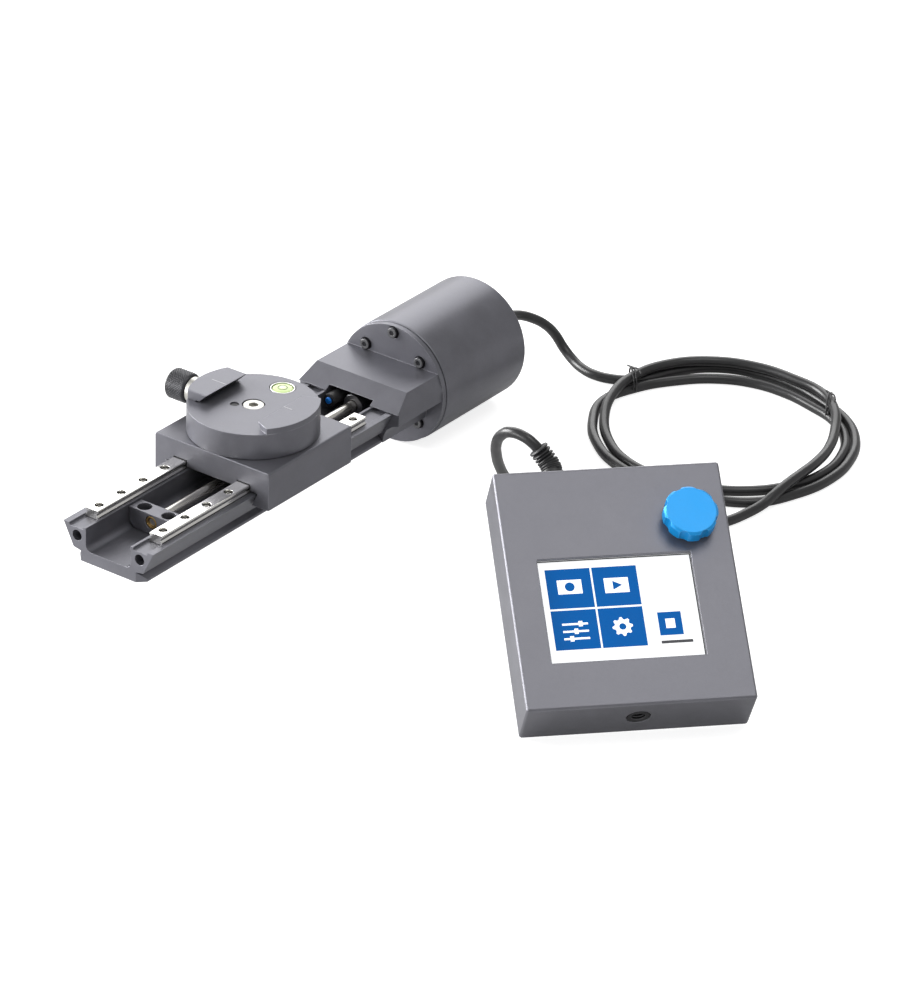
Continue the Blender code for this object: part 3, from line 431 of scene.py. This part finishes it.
# ---- Linear guides -------------------------------------------------------------------------------
# Two miniature guide rails in hardened steel, ground bright along their length. Ten cap screws hold each
# one in stepped holes. Each screw is a steel ring with a small hexagon socket.
ground_steel = finish_of("ground_steel", (0.82, 0.81, 0.78), 0.95, 0.16, grain=60, depth=0.000002,
                         spread=0.04,
                         edge=(0.95, 0.95, 0.93), radius=0.0002, stretch=(1, 60, 60))
dressed("guide_rail_left", "guide_left", ground_steel, 0.00015)
dressed("guide_rail_right", "guide_right", ground_steel, 0.00015)

SCREW_PITCH = 15
SCREW_COUNT = 10
GUIDE_OFFSET = 17.95
GUIDE_SCREW_TOP = 19.2


def socket_head(name, radius, hex_radius, depth, material, facing=None):
    """A round screw head with a hexagon socket, its face at the origin and looking up, or along facing."""
    shape = bmesh.new()
    outline = ((radius, -depth - 0.6), (radius, -0.15), (radius - 0.15, 0), (hex_radius, 0),
               (hex_radius, -depth))
    rings = []
    for reach, height in outline:
        rings.append([shape.verts.new(Vector((
            reach * math.cos(math.radians(15 * k)), reach * math.sin(math.radians(15 * k)), height)) * MM)
            for k in range(24)])
    for ring in rings[3:]:
        for k, corner in enumerate(ring):
            side = math.cos(math.pi / 6) / math.cos(math.radians((k * 15) % 60 - 30))
            corner.co.x *= side
            corner.co.y *= side
    for low, high in zip(rings, rings[1:]):
        for k in range(24):
            shape.faces.new((low[k], low[(k + 1) % 24], high[(k + 1) % 24], high[k]))
    shape.faces.new(list(reversed(rings[0])))
    shape.faces.new(rings[-1])
    if facing:
        turn = Vector(facing).to_track_quat("Z", "Y").to_matrix()
        bmesh.ops.rotate(shape, verts=shape.verts, matrix=turn)
    mesh = bpy.data.meshes.new(name)
    shape.to_mesh(mesh)
    shape.free()
    return link_mesh(name, mesh, material)


screw_steel = finish_of("screw_steel", (0.55, 0.54, 0.51), 0.9, 0.3, grain=9000, depth=0.000005,
                        spread=0.2)
# Flat black for painted shade: it darkens the stepped holes round the guide screws.
painted_bore_shade = finish_of("painted_bore_shade", (0.012, 0.011, 0.010), 0.2, 0.6, grain=6000, spread=0.3)


def repeated(name, item, points, material, node, centre=None, axis=None):
    """One mesh with the item copied to each point by Geometry Nodes. With an axis, each copy's top points
    away from it. It rides with the node's body."""
    carrier_mesh = bpy.data.meshes.new(name + "_places")
    carrier_mesh.from_pydata([tuple(point) for point in points], [], [])
    carrier = link_mesh(name, carrier_mesh, material)
    tree = bpy.data.node_groups.new(name + "_nodes", "GeometryNodeTree")
    tree.interface.new_socket("Geometry", in_out="INPUT", socket_type="NodeSocketGeometry")
    item_socket = tree.interface.new_socket("Item", in_out="INPUT", socket_type="NodeSocketObject")
    centre_socket = tree.interface.new_socket("Centre", in_out="INPUT", socket_type="NodeSocketVector")
    axis_socket = tree.interface.new_socket("Axis", in_out="INPUT", socket_type="NodeSocketVector")
    tree.interface.new_socket("Geometry", in_out="OUTPUT", socket_type="NodeSocketGeometry")
    way_in = tree.nodes.new("NodeGroupInput")
    way_out = tree.nodes.new("NodeGroupOutput")
    item_info = put(tree, "GeometryNodeObjectInfo", {"Object": way_in.outputs["Item"]})
    place = put(tree, "GeometryNodeInputPosition").outputs["Position"]
    from_centre = put(tree, "ShaderNodeVectorMath", {0: place, 1: way_in.outputs["Centre"]},
                      operation="SUBTRACT")
    along = put(tree, "ShaderNodeVectorMath", {0: from_centre.outputs[0], 1: way_in.outputs["Axis"]},
                operation="PROJECT")
    outward = put(tree, "ShaderNodeVectorMath", {0: from_centre.outputs[0], 1: along.outputs[0]},
                  operation="SUBTRACT")
    turned = put(tree, "FunctionNodeAlignRotationToVector", {"Vector": outward.outputs[0]}, axis="Z")
    placed = put(tree, "GeometryNodeInstanceOnPoints", {
        "Points": way_in.outputs["Geometry"], "Instance": item_info.outputs["Geometry"]})
    if axis:
        tree.links.new(turned.outputs["Rotation"], placed.inputs["Rotation"])
    realised = put(tree, "GeometryNodeRealizeInstances", {"Geometry": placed.outputs["Instances"]})
    painted = put(tree, "GeometryNodeSetMaterial", {
        "Geometry": realised.outputs["Geometry"], "Material": material})
    tree.links.new(painted.outputs["Geometry"], way_out.inputs["Geometry"])
    nodes = carrier.modifiers.new("copies", "NODES")
    nodes.node_group = tree
    nodes[item_socket.identifier] = item
    nodes[centre_socket.identifier] = centre or (0, 0, 0)
    nodes[axis_socket.identifier] = axis or (0, 0, 1)
    bake(carrier)
    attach(carrier, frame["nodes"][node]["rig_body"])
    return carrier


guide_places = [
    Vector((SCREW_PITCH * k, side * GUIDE_OFFSET, GUIDE_SCREW_TOP)) * MM
    for side in (1, -1) for k in range(SCREW_COUNT)]
head = socket_head("guide_screw_head", 1.35, 0.7, 0.5, screw_steel)
guide_screws = repeated("guide_screws", head, guide_places, screw_steel, "base_rail")
# Under each guide screw head lies a black disc with a hexagon hole: painted shade in the stepped hole round
# the screw.
shade_disc = socket_head("guide_pit_washer", 2.0, 1.0, 0.2, painted_bore_shade)
shade_disc_places = [place - Vector((0, 0, 0.0005)) for place in guide_places]
guide_pits = repeated("guide_pits", shade_disc, shade_disc_places, painted_bore_shade, "base_rail")
for done in (head, shade_disc):
    bpy.data.objects.remove(done)

# ---- Front bearing -------------------------------------------------------------------------------
# A small anodised bar across the channel holds the screw's front bush. The bush is turned bronze. Two black
# socket screws hold the bar down.
bar_coating = finish_of("bar_anodising", ANODISED, 0.65, 0.40, edge=ANODISED_EDGE)
dressed("front_bearing_block", "bearing_bar", bar_coating, 0.0003)
bronze = finish_of("turned_bronze", (0.42, 0.27, 0.10), 0.95, 0.3, grain=3000, depth=0.00001, spread=0.15)
dressed("front_bushing", "bearing_bush", bronze, 0.00015)
black_oxide = finish_of("black_oxide", (0.03, 0.03, 0.033), 0.75, 0.4, grain=7000, edge=(0.1, 0.1, 0.105),
                        radius=0.0002)
dressed("bearing_screw_left", "bearing_screw_l", black_oxide, 0.00015)
dressed("bearing_screw_right", "bearing_screw_r", black_oxide, 0.00015)

# ---- Lead screw ----------------------------------------------------------------------------------
# A ground steel screw from the front bush to the coupling. The coupling is a turned aluminium sleeve, and
# behind it comes the motor's steel shaft.
screw_ground = finish_of("screw_ground", (0.66, 0.64, 0.60), 0.95, 0.24, grain=90, depth=0.00001,
                         spread=0.1,
                         stretch=(40, 1, 1))
dressed("lead_screw", "drive_screw", screw_ground, 0.0002)
dressed("motor_shaft", "drive_shaft", screw_ground, 0.0002)
coupling_metal = finish_of("coupling_metal", (0.2, 0.2, 0.21), 0.9, 0.33, grain=90, depth=0.00001,
                           stretch=(40, 1, 1))
dressed("shaft_coupling", "coupling", coupling_metal, 0.0003)
dressed("lead_nut", "drive_nut", bronze, 0.0003)

# ---- Carriage ------------------------------------------------------------------------------------
# The carriage is one milled block in the same blasted blue-grey anodising, its long top edges chamfered.
# Four steel runner blocks with black end caps carry it on the guides.
carriage_coating = finish_of("carriage_anodising", ANODISED, 0.65, 0.42, edge=ANODISED_EDGE, radius=0.0005)
dressed("carriage", "carriage_body", carriage_coating, 0.0004)
runner_steel = finish_of("runner_steel", (0.62, 0.61, 0.59), 0.9, 0.3, grain=60, depth=0.00001,
                         stretch=(1, 40, 40))
for place in ("front_left", "front_right", "rear_left", "rear_right"):
    dressed("runner_block_" + place, "runner_" + place, runner_steel, 0.0003)

# ---- Quick-release clamp -------------------------------------------------------------------------
# A round milled plate with a fixed dovetail jaw on one side and a sliding jaw on the other. A knurled knob
# drives the sliding jaw. Everything but the screws is blasted and anodised.
clamp_coating = finish_of("clamp_anodising", ANODISED, 0.65, 0.41, edge=ANODISED_EDGE, radius=0.0004)
dressed("clamp_base", "clamp_plate", clamp_coating, 0.0003)
dressed("moving_jaw", "clamp_jaw", clamp_coating, 0.0003)
line_pale = finish_of("line_pale", (0.5, 0.5, 0.52), 0.2, 0.5, grain=9000, spread=0.1)


def strip(name, low, high, node, material):
    """A thin engraved and filled line: a bar between two corners in millimetres."""
    shape = bmesh.new()
    bmesh.ops.create_cube(shape, size=1)
    bmesh.ops.bevel(shape, geom=shape.edges[:], offset=0.02, segments=1, affect="EDGES")
    for corner in shape.verts:
        for k in range(3):
            corner.co[k] = (low[k] + (corner.co[k] + 0.5) * (high[k] - low[k])) * MM
    mesh = bpy.data.meshes.new(name)
    shape.to_mesh(mesh)
    shape.free()
    made = link_mesh(name, mesh, material)
    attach(made, frame["nodes"][node]["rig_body"])
    return made


strip("jaw_line", (85.15, 15.6, 46.17), (85.5, 23.8, 46.24), "moving_jaw", line_pale)
strip("plate_line", (87.35, -19.8, 44.37), (87.7, -15.3, 44.44), "clamp_base", line_pale)
stainless = finish_of("stainless", (0.50, 0.49, 0.46), 0.92, 0.34, grain=6000, depth=0.00001,
                      edge=(0.85, 0.85, 0.84))
dressed("centre_screw", "clamp_screw_centre", stainless, 0.0002)
dressed("set_screw", "clamp_screw_set", black_oxide, 0.0002)
dressed("clamp_screw", "clamp_screw_long", stainless, 0.0002)
dressed("knob_ring", "knob_washer", stainless, 0.0002)

# ---- Bubble level --------------------------------------------------------------------------------
# A small round level sits in the clamp plate: a light metal cup, pale yellow-green liquid under a clear
# cover, and a printed ring round an air bubble.
level_metal = finish_of("level_metal", (0.75, 0.75, 0.74), 0.8, 0.3, grain=6000, edge=(0.9, 0.9, 0.9))
dressed("level_cup", "level_ring", level_metal, 0.0002)
LEVEL_X = 106.1
LEVEL_TOP = 41.72


def ring_on(name, centre, top, inner, outer, thickness, material, node, sides=48):
    """A thin flat ring, or a disc when inner is 0, lying level at a centre, in millimetres."""
    shape = bmesh.new()
    loops = []
    for radius, height in ((outer, top - thickness), (outer, top), (inner, top), (inner, top - thickness)):
        if radius == 0:
            loops.append([shape.verts.new((centre[0] * MM, centre[1] * MM, height * MM))] * sides)
            continue
        loops.append([shape.verts.new((
            (centre[0] + radius * math.cos(2 * math.pi * k / sides)) * MM,
            (centre[1] + radius * math.sin(2 * math.pi * k / sides)) * MM, height * MM))
            for k in range(sides)])
    for low_loop, high_loop in zip(loops, loops[1:] + loops[:1]):
        for k in range(sides):
            after = (k + 1) % sides
            corners = [low_loop[k], low_loop[after], high_loop[after], high_loop[k]]
            corners = [c for n, c in enumerate(corners) if c not in corners[:n]]
            if len(corners) > 2:
                shape.faces.new(corners)
    bmesh.ops.recalc_face_normals(shape, faces=shape.faces)
    mesh = bpy.data.meshes.new(name)
    shape.to_mesh(mesh)
    shape.free()
    made = link_mesh(name, mesh, material)
    level_faces(made, 40)
    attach(made, frame["nodes"][node]["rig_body"])
    return made


level_liquid = finish_of("level_liquid", (0.60, 0.76, 0.32), 0, 0.12, grain=900, depth=0.000002,
                         spread=0.06)
dressed("level_vial", "level_liquid", level_liquid, 0.0004)
ring_black = finish_of("ring_black", (0.02, 0.03, 0.01), 0, 0.3, grain=6000, spread=0.1)
ring_on("level_mark", (LEVEL_X, 0), LEVEL_TOP, 2.0, 2.25, 0.06, ring_black, "level_vial")
bubble_pale = finish_of("bubble_pale", (0.80, 0.88, 0.55), 0, 0.08, grain=900, depth=0.000002, spread=0.03)
ring_on("level_bubble", (LEVEL_X + 0.3, 0.2), LEVEL_TOP - 0.02, 0, 1.5, 0.05, bubble_pale, "level_vial")

# ---- Knurled knob --------------------------------------------------------------------------------
# The clamp's knob is black anodised aluminium with a crossed knurl all round and a plain chamfer at each
# end.
knob_black = finish_of("knob_black", (0.05, 0.05, 0.054), 0.6, 0.35, grain=6000, edge=(0.16, 0.16, 0.17))
dressed("clamp_knob", "knob_body", knob_black, 0.0002)
KNOB_AXIS = (85.14, 37.7)
KNURL_REACH = 6.85
KNURLS_ROUND = 34
KNURL_ROWS = 14
KNURL_START = 36.5
KNURL_PITCH = 2 * math.pi * KNURL_REACH / KNURLS_ROUND
knurl_shape = bmesh.new()
KNURL_SIDES = ((1, 0), (0, 1), (-1, 0), (0, -1))
KNURL_TIP = 0.14
KNURL_RISE = 0.36
KNURL_SINK = 0.1
knurl_foot = [knurl_shape.verts.new(Vector((x * KNURL_PITCH / 2, y * KNURL_PITCH / 2, -KNURL_SINK)) * MM)
              for x, y in KNURL_SIDES]
knurl_tip = [knurl_shape.verts.new(Vector((x * KNURL_TIP, y * KNURL_TIP, KNURL_RISE)) * MM)
             for x, y in KNURL_SIDES]
for k in range(4):
    knurl_shape.faces.new((knurl_foot[k], knurl_foot[(k + 1) % 4], knurl_tip[(k + 1) % 4], knurl_tip[k]))
knurl_shape.faces.new(knurl_tip)
knurl_shape.faces.new(list(reversed(knurl_foot)))
knurl_mesh = bpy.data.meshes.new("knurl")
knurl_shape.to_mesh(knurl_mesh)
knurl_shape.free()
knurl = link_mesh("knurl", knurl_mesh, knob_black)
knurl_places = []
for row in range(KNURL_ROWS):
    for k in range(KNURLS_ROUND):
        way = 2 * math.pi * (k + 0.5 * (row % 2)) / KNURLS_ROUND
        knurl_places.append(((KNOB_AXIS[0] + KNURL_REACH * math.sin(way)) * MM,
                             (KNURL_START + row * KNURL_PITCH / 2) * MM,
                             (KNOB_AXIS[1] + KNURL_REACH * math.cos(way)) * MM))
knurls = repeated("knob_knurl", knurl, knurl_places, knob_black, "clamp_knob",
                  centre=(KNOB_AXIS[0] * MM, 0, KNOB_AXIS[1] * MM), axis=(0, 1, 0))
bpy.data.objects.remove(knurl)

# ---- Motor bracket -------------------------------------------------------------------------------
# A milled bracket with a slanted hood over the rail's end and a round flange for the motor shell. Black
# socket screws sit in its counterbores.
bracket_coating = finish_of("bracket_anodising", ANODISED, 0.65, 0.42, edge=ANODISED_EDGE, radius=0.0004)
dressed("motor_bracket", "bracket", bracket_coating, 0.0004)
for place in ("upper_left", "upper_right", "lower_left", "lower_right"):
    dressed("motor_screw_" + place, "flange_screw_" + place, black_oxide, 0.0002)
dressed("shell_screw", "flange_screw_top", black_oxide, 0.0002)
dressed("bracket_screw_left", "foot_screw_l", black_oxide, 0.0002)
dressed("bracket_screw_right", "foot_screw_r", black_oxide, 0.0002)

socket_grey = finish_of("socket_grey", (0.16, 0.16, 0.165), 0.8, 0.35, grain=7000, spread=0.2)
flange_head = socket_head("flange_socket", 2.45, 1.35, 0.9, socket_grey, facing=(-1, 0, 0))
FLANGE_FACE = 187.1
DRIVE_Z = 11.72
flange_places = [Vector((FLANGE_FACE, y * 15.5, DRIVE_Z + z * 15.5)) * MM for y in (1, -1) for z in (1, -1)]
flange_places.append(Vector((FLANGE_FACE, 0, DRIVE_Z + 26)) * MM)
flange_sockets = repeated("flange_sockets", flange_head, flange_places, socket_grey, "motor_bracket")
bpy.data.objects.remove(flange_head)

# ---- Motor housing -------------------------------------------------------------------------------
# A turned tube of blasted, anodised aluminium round a square stepper motor, closed by a turned rear cover.
shell_coating = finish_of("shell_anodising", ANODISED, 0.65, 0.40, edge=ANODISED_EDGE, radius=0.0005)
dressed("motor_shell", "housing_tube", shell_coating, 0.0004)
dressed("rear_cover", "housing_cover", shell_coating, 0.0004)
motor_black = finish_of("motor_black", (0.03, 0.03, 0.03), 0.3, 0.5, grain=1200)
dressed("motor", "stepper_motor", motor_black, 0.0003)

# ---- End stop ------------------------------------------------------------------------------------
# A black sleeve under the hood with a blue plastic buffer at its tip, on a small black block.
sleeve_black = finish_of("sleeve_black", (0.02, 0.02, 0.021), 0, 0.5, grain=3000)
dressed("end_stop", "stop_sleeve", sleeve_black, 0.0002)
dressed("end_stop_mount", "stop_block", sleeve_black, 0.0002)
buffer_blue = finish_of("buffer_blue", (0.0, 0.16, 0.62), 0, 0.35, grain=3000)
dressed("end_stop_buffer", "stop_buffer", buffer_blue, 0.0002)

# ---- Controller case -----------------------------------------------------------------------------
# A milled aluminium box in two halves, blasted and anodised blue-grey, with bright chamfered edges whose
# brightness is partly painted highlight. It leans back on its lower edge. All its shapes are placed along
# the box's own width, height and thickness.
case_coating = finish_of("case_anodising", (0.165, 0.165, 0.185), 0.6, 0.42, edge=(0.5, 0.5, 0.54),
                         radius=0.00055)
dressed("controller_case", "case_front", case_coating, 0.0005)
dressed("controller_back", "case_back", case_coating, 0.0005)
case_origin = Vector((0.0076, -0.2034, -0.018))
heading = math.radians(-44.03)
lean = math.radians(33.54)
case_u = Vector((math.cos(heading), math.sin(heading), 0))
level_ahead = Vector((-math.sin(heading), math.cos(heading), 0))
case_v = level_ahead * math.cos(lean) + Vector((0, 0, math.sin(lean)))
case_n = case_u.cross(case_v)


def on_case(across, up, out):
    """A point given in millimetres along the case's width, height and thickness."""
    return case_origin + (case_u * across + case_v * up + case_n * out) * MM


# ---- Touch screen --------------------------------------------------------------------------------
# A glass panel behind a black gasket. It shows a light page with four blue tiles and plain pictograms.
glass_white = finish_of("screen_page", (0.74, 0.75, 0.76), 0, 0.3, grain=300, depth=0.000002, spread=0.01,
                        specular=0.25, glow=0.8)
panel = dressed("display_panel", "screen_glass", glass_white, 0.0002)


def flat_shape(name, outline, out, thickness, material):
    """A thin closed sheet on the case's face with this outline in millimetres. Its face is out above the
    case's back, and it is extruded down."""
    shape = bmesh.new()
    top = [shape.verts.new(on_case(across, up, out)) for across, up in outline]
    bottom = [shape.verts.new(on_case(across, up, out - thickness)) for across, up in outline]
    shape.faces.new(top)
    shape.faces.new(list(reversed(bottom)))
    for k in range(len(outline)):
        after = (k + 1) % len(outline)
        shape.faces.new((bottom[k], bottom[after], top[after], top[k]))
    bmesh.ops.recalc_face_normals(shape, faces=shape.faces)
    mesh = bpy.data.meshes.new(name)
    shape.to_mesh(mesh)
    shape.free()
    made = link_mesh(name, mesh, material)
    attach(made, "base")
    return made


def rectangle(left, low, right, high):
    return [(left, low), (right, low), (right, high), (left, high)]


PAGE = 23.6
gasket_black = finish_of("gasket_black", (0.012, 0.012, 0.013), 0, 0.5, grain=3000, spread=0.2)
WINDOW = (13.5, 21.5, 79.5, 70.0)
GASKET = 0.4
for side, edges in enumerate((
        (WINDOW[0], WINDOW[1], WINDOW[2], WINDOW[1] + GASKET),
        (WINDOW[0], WINDOW[3] - GASKET, WINDOW[2], WINDOW[3]),
        (WINDOW[0], WINDOW[1] + GASKET, WINDOW[0] + GASKET, WINDOW[3] - GASKET),
        (WINDOW[2] - GASKET, WINDOW[1] + GASKET, WINDOW[2], WINDOW[3] - GASKET))):
    flat_shape(f"gasket_{side}", rectangle(*edges), PAGE + 0.3, 0.25, gasket_black)
TILE_THICKNESS = 0.05
tile_blue = finish_of("tile_blue", (0.0, 0.09, 0.33), 0, 0.35, grain=300, depth=0.000002, spread=0.03,
                      specular=0.05, glow=0.45)
for row, (low, high) in enumerate(((47.5, 66.0), (28.2, 46.6))):
    for column, (left, right) in enumerate(((16.5, 35.7), (36.5, 55.6))):
        flat_shape(f"tile_{row}_{column}", rectangle(left, low, right, high), PAGE + 0.08, TILE_THICKNESS,
                   tile_blue)
mark_white = finish_of("mark_white", (0.85, 0.86, 0.87), 0, 0.35, grain=300, depth=0.000002, spread=0.01,
                       specular=0.25, glow=0.8)
MARK = PAGE + 0.16
flat_shape("mark_photo_frame", rectangle(21, 54.2, 31.4, 60.8), MARK, 0.05, mark_white)
circle = [(26.2 + 2.1 * math.cos(math.radians(k * 15)), 57.5 + 2.1 * math.sin(math.radians(k * 15)))
          for k in range(24)]
flat_shape("mark_photo_lens", circle, MARK + 0.08, 0.05, tile_blue)
flat_shape("mark_film_frame", rectangle(41, 53.6, 51.4, 60.6), MARK, 0.05, mark_white)
flat_shape("mark_film_arrow", [(44.6, 55), (44.6, 59.2), (48.6, 57.1)], MARK + 0.08, 0.05, tile_blue)
for index in range(3):
    foot = 32.8 + index * 3.4
    flat_shape(f"mark_slider_bar_{index}", rectangle(20.6, foot, 31.6, foot + 0.9), MARK, 0.05, mark_white)
    flat_shape(f"mark_slider_grip_{index}",
               rectangle(23.2 + 2.2 * index, foot - 0.8, 24.9 + 2.2 * index, foot + 1.7),
               MARK + 0.08, 0.05, mark_white)
gear = []
for k in range(32):
    reach = 4.4 if k % 4 in (0, 1) else 3.4
    way = math.radians(k * 11.25)
    gear.append((46.1 + reach * math.cos(way), 37.6 + reach * math.sin(way)))
flat_shape("mark_gear", gear, MARK, 0.05, mark_white)
hub = [(46.1 + 1.5 * math.cos(math.radians(k * 15)), 37.6 + 1.5 * math.sin(math.radians(k * 15)))
       for k in range(24)]
flat_shape("mark_gear_hub", hub, MARK + 0.08, 0.05, tile_blue)
mark_grey = finish_of("mark_grey", (0.03, 0.03, 0.035), 0, 0.35, grain=300, depth=0.000002, spread=0.02,
                      specular=0.25, glow=0.8)
flat_shape("mark_side_square", rectangle(61.5, 32.4, 71.5, 43.2), MARK, 0.05, tile_blue)
flat_shape("mark_side_notch", rectangle(64.5, 35.6, 68.5, 40.0), MARK + 0.08, 0.05, mark_white)
flat_shape("mark_side_line", rectangle(61.5, 28.6, 75.0, 29.9), MARK, 0.05, mark_grey)

# ---- Blue dial -----------------------------------------------------------------------------------
# A turned and scalloped aluminium dial, anodised bright blue, on the encoder's steel shaft.
dial_blue = finish_of("dial_blue", (0.0, 0.30, 0.74), 0.3, 0.38, grain=9000, depth=0.00001, spread=0.08,
                      edge=(0.15, 0.55, 0.95), radius=0.0005)
dressed("control_knob", "dial", dial_blue, 0.0005, segments=3)
dressed("encoder_shaft", "dial_shaft", stainless, 0.0002)
dressed("encoder", "dial_encoder", stainless, 0.0002)

# ---- Inside and back of the controller -----------------------------------------------------------
# A green board, the cable's socket, a threaded tripod insert in the lower edge, a folding leg on a steel
# pin between two hinge blocks, and four countersunk screws.
board_green = finish_of("board_green", (0.02, 0.12, 0.05), 0, 0.35, grain=900, spread=0.3)
dressed("circuit_board", "board", board_green, 0.0001)
dressed("cable_socket", "socket", moulded, 0.0002)
dressed("tripod_insert", "tripod_thread", black_oxide, 0.0002)
# The insert's thread is a stack of rings inside its bore.
thread_shape = bmesh.new()
THREAD_CENTRE = (48.9, 14.0)
for index in range(8):
    depth = 0.6 + 1.27 * index
    loops = []
    for radius, offset in ((3.25, -0.5), (2.85, 0), (3.25, 0.5)):
        loops.append([thread_shape.verts.new(on_case(
            THREAD_CENTRE[0] + radius * math.cos(2 * math.pi * k / 28), depth + offset,
            THREAD_CENTRE[1] + radius * math.sin(2 * math.pi * k / 28))) for k in range(28)])
    for low_loop, high_loop in ((loops[0], loops[1]), (loops[1], loops[2]), (loops[2], loops[0])):
        for k in range(28):
            after = (k + 1) % 28
            thread_shape.faces.new((low_loop[k], low_loop[after], high_loop[after], high_loop[k]))
bmesh.ops.recalc_face_normals(thread_shape, faces=thread_shape.faces)
thread_mesh = bpy.data.meshes.new("tripod_ridges")
thread_shape.to_mesh(thread_mesh)
thread_shape.free()
dark_steel = finish_of("dark_steel", (0.10, 0.10, 0.105), 0.8, 0.4, grain=6000, spread=0.2)
ridges = link_mesh("tripod_ridges", thread_mesh, dark_steel)
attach(ridges, "base")

# Four countersunk screws hold the back cover.
back_shape = bmesh.new()
BACK_HEAD = ((2.2, 0.4), (2.2, 0.05), (2.0, -0.08), (1.0, -0.08), (1.0, 0.9))
for across, up in ((9, 9), (89, 9), (9, 103.3), (89, 103.3)):
    loops = [[back_shape.verts.new(on_case(
        across + radius * math.cos(2 * math.pi * k / 24), up + radius * math.sin(2 * math.pi * k / 24),
        out + 0.25))
        for k in range(24)] for radius, out in BACK_HEAD]
    for low_loop, high_loop in zip(loops, loops[1:]):
        for k in range(24):
            after = (k + 1) % 24
            back_shape.faces.new((low_loop[k], low_loop[after], high_loop[after], high_loop[k]))
    back_shape.faces.new(loops[-1])
    back_shape.faces.new(loops[0])
bmesh.ops.recalc_face_normals(back_shape, faces=back_shape.faces)
back_mesh = bpy.data.meshes.new("back_screws")
back_shape.to_mesh(back_mesh)
back_shape.free()
back_screws = link_mesh("back_screws", back_mesh, black_oxide)
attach(back_screws, "base")
dressed("leg_hinge_left", "hinge_l", case_coating, 0.0002)
dressed("leg_hinge_right", "hinge_r", case_coating, 0.0002)
dressed("leg_pin", "hinge_pin", stainless, 0.0002)
dressed("support_leg", "leg", case_coating, 0.0003)

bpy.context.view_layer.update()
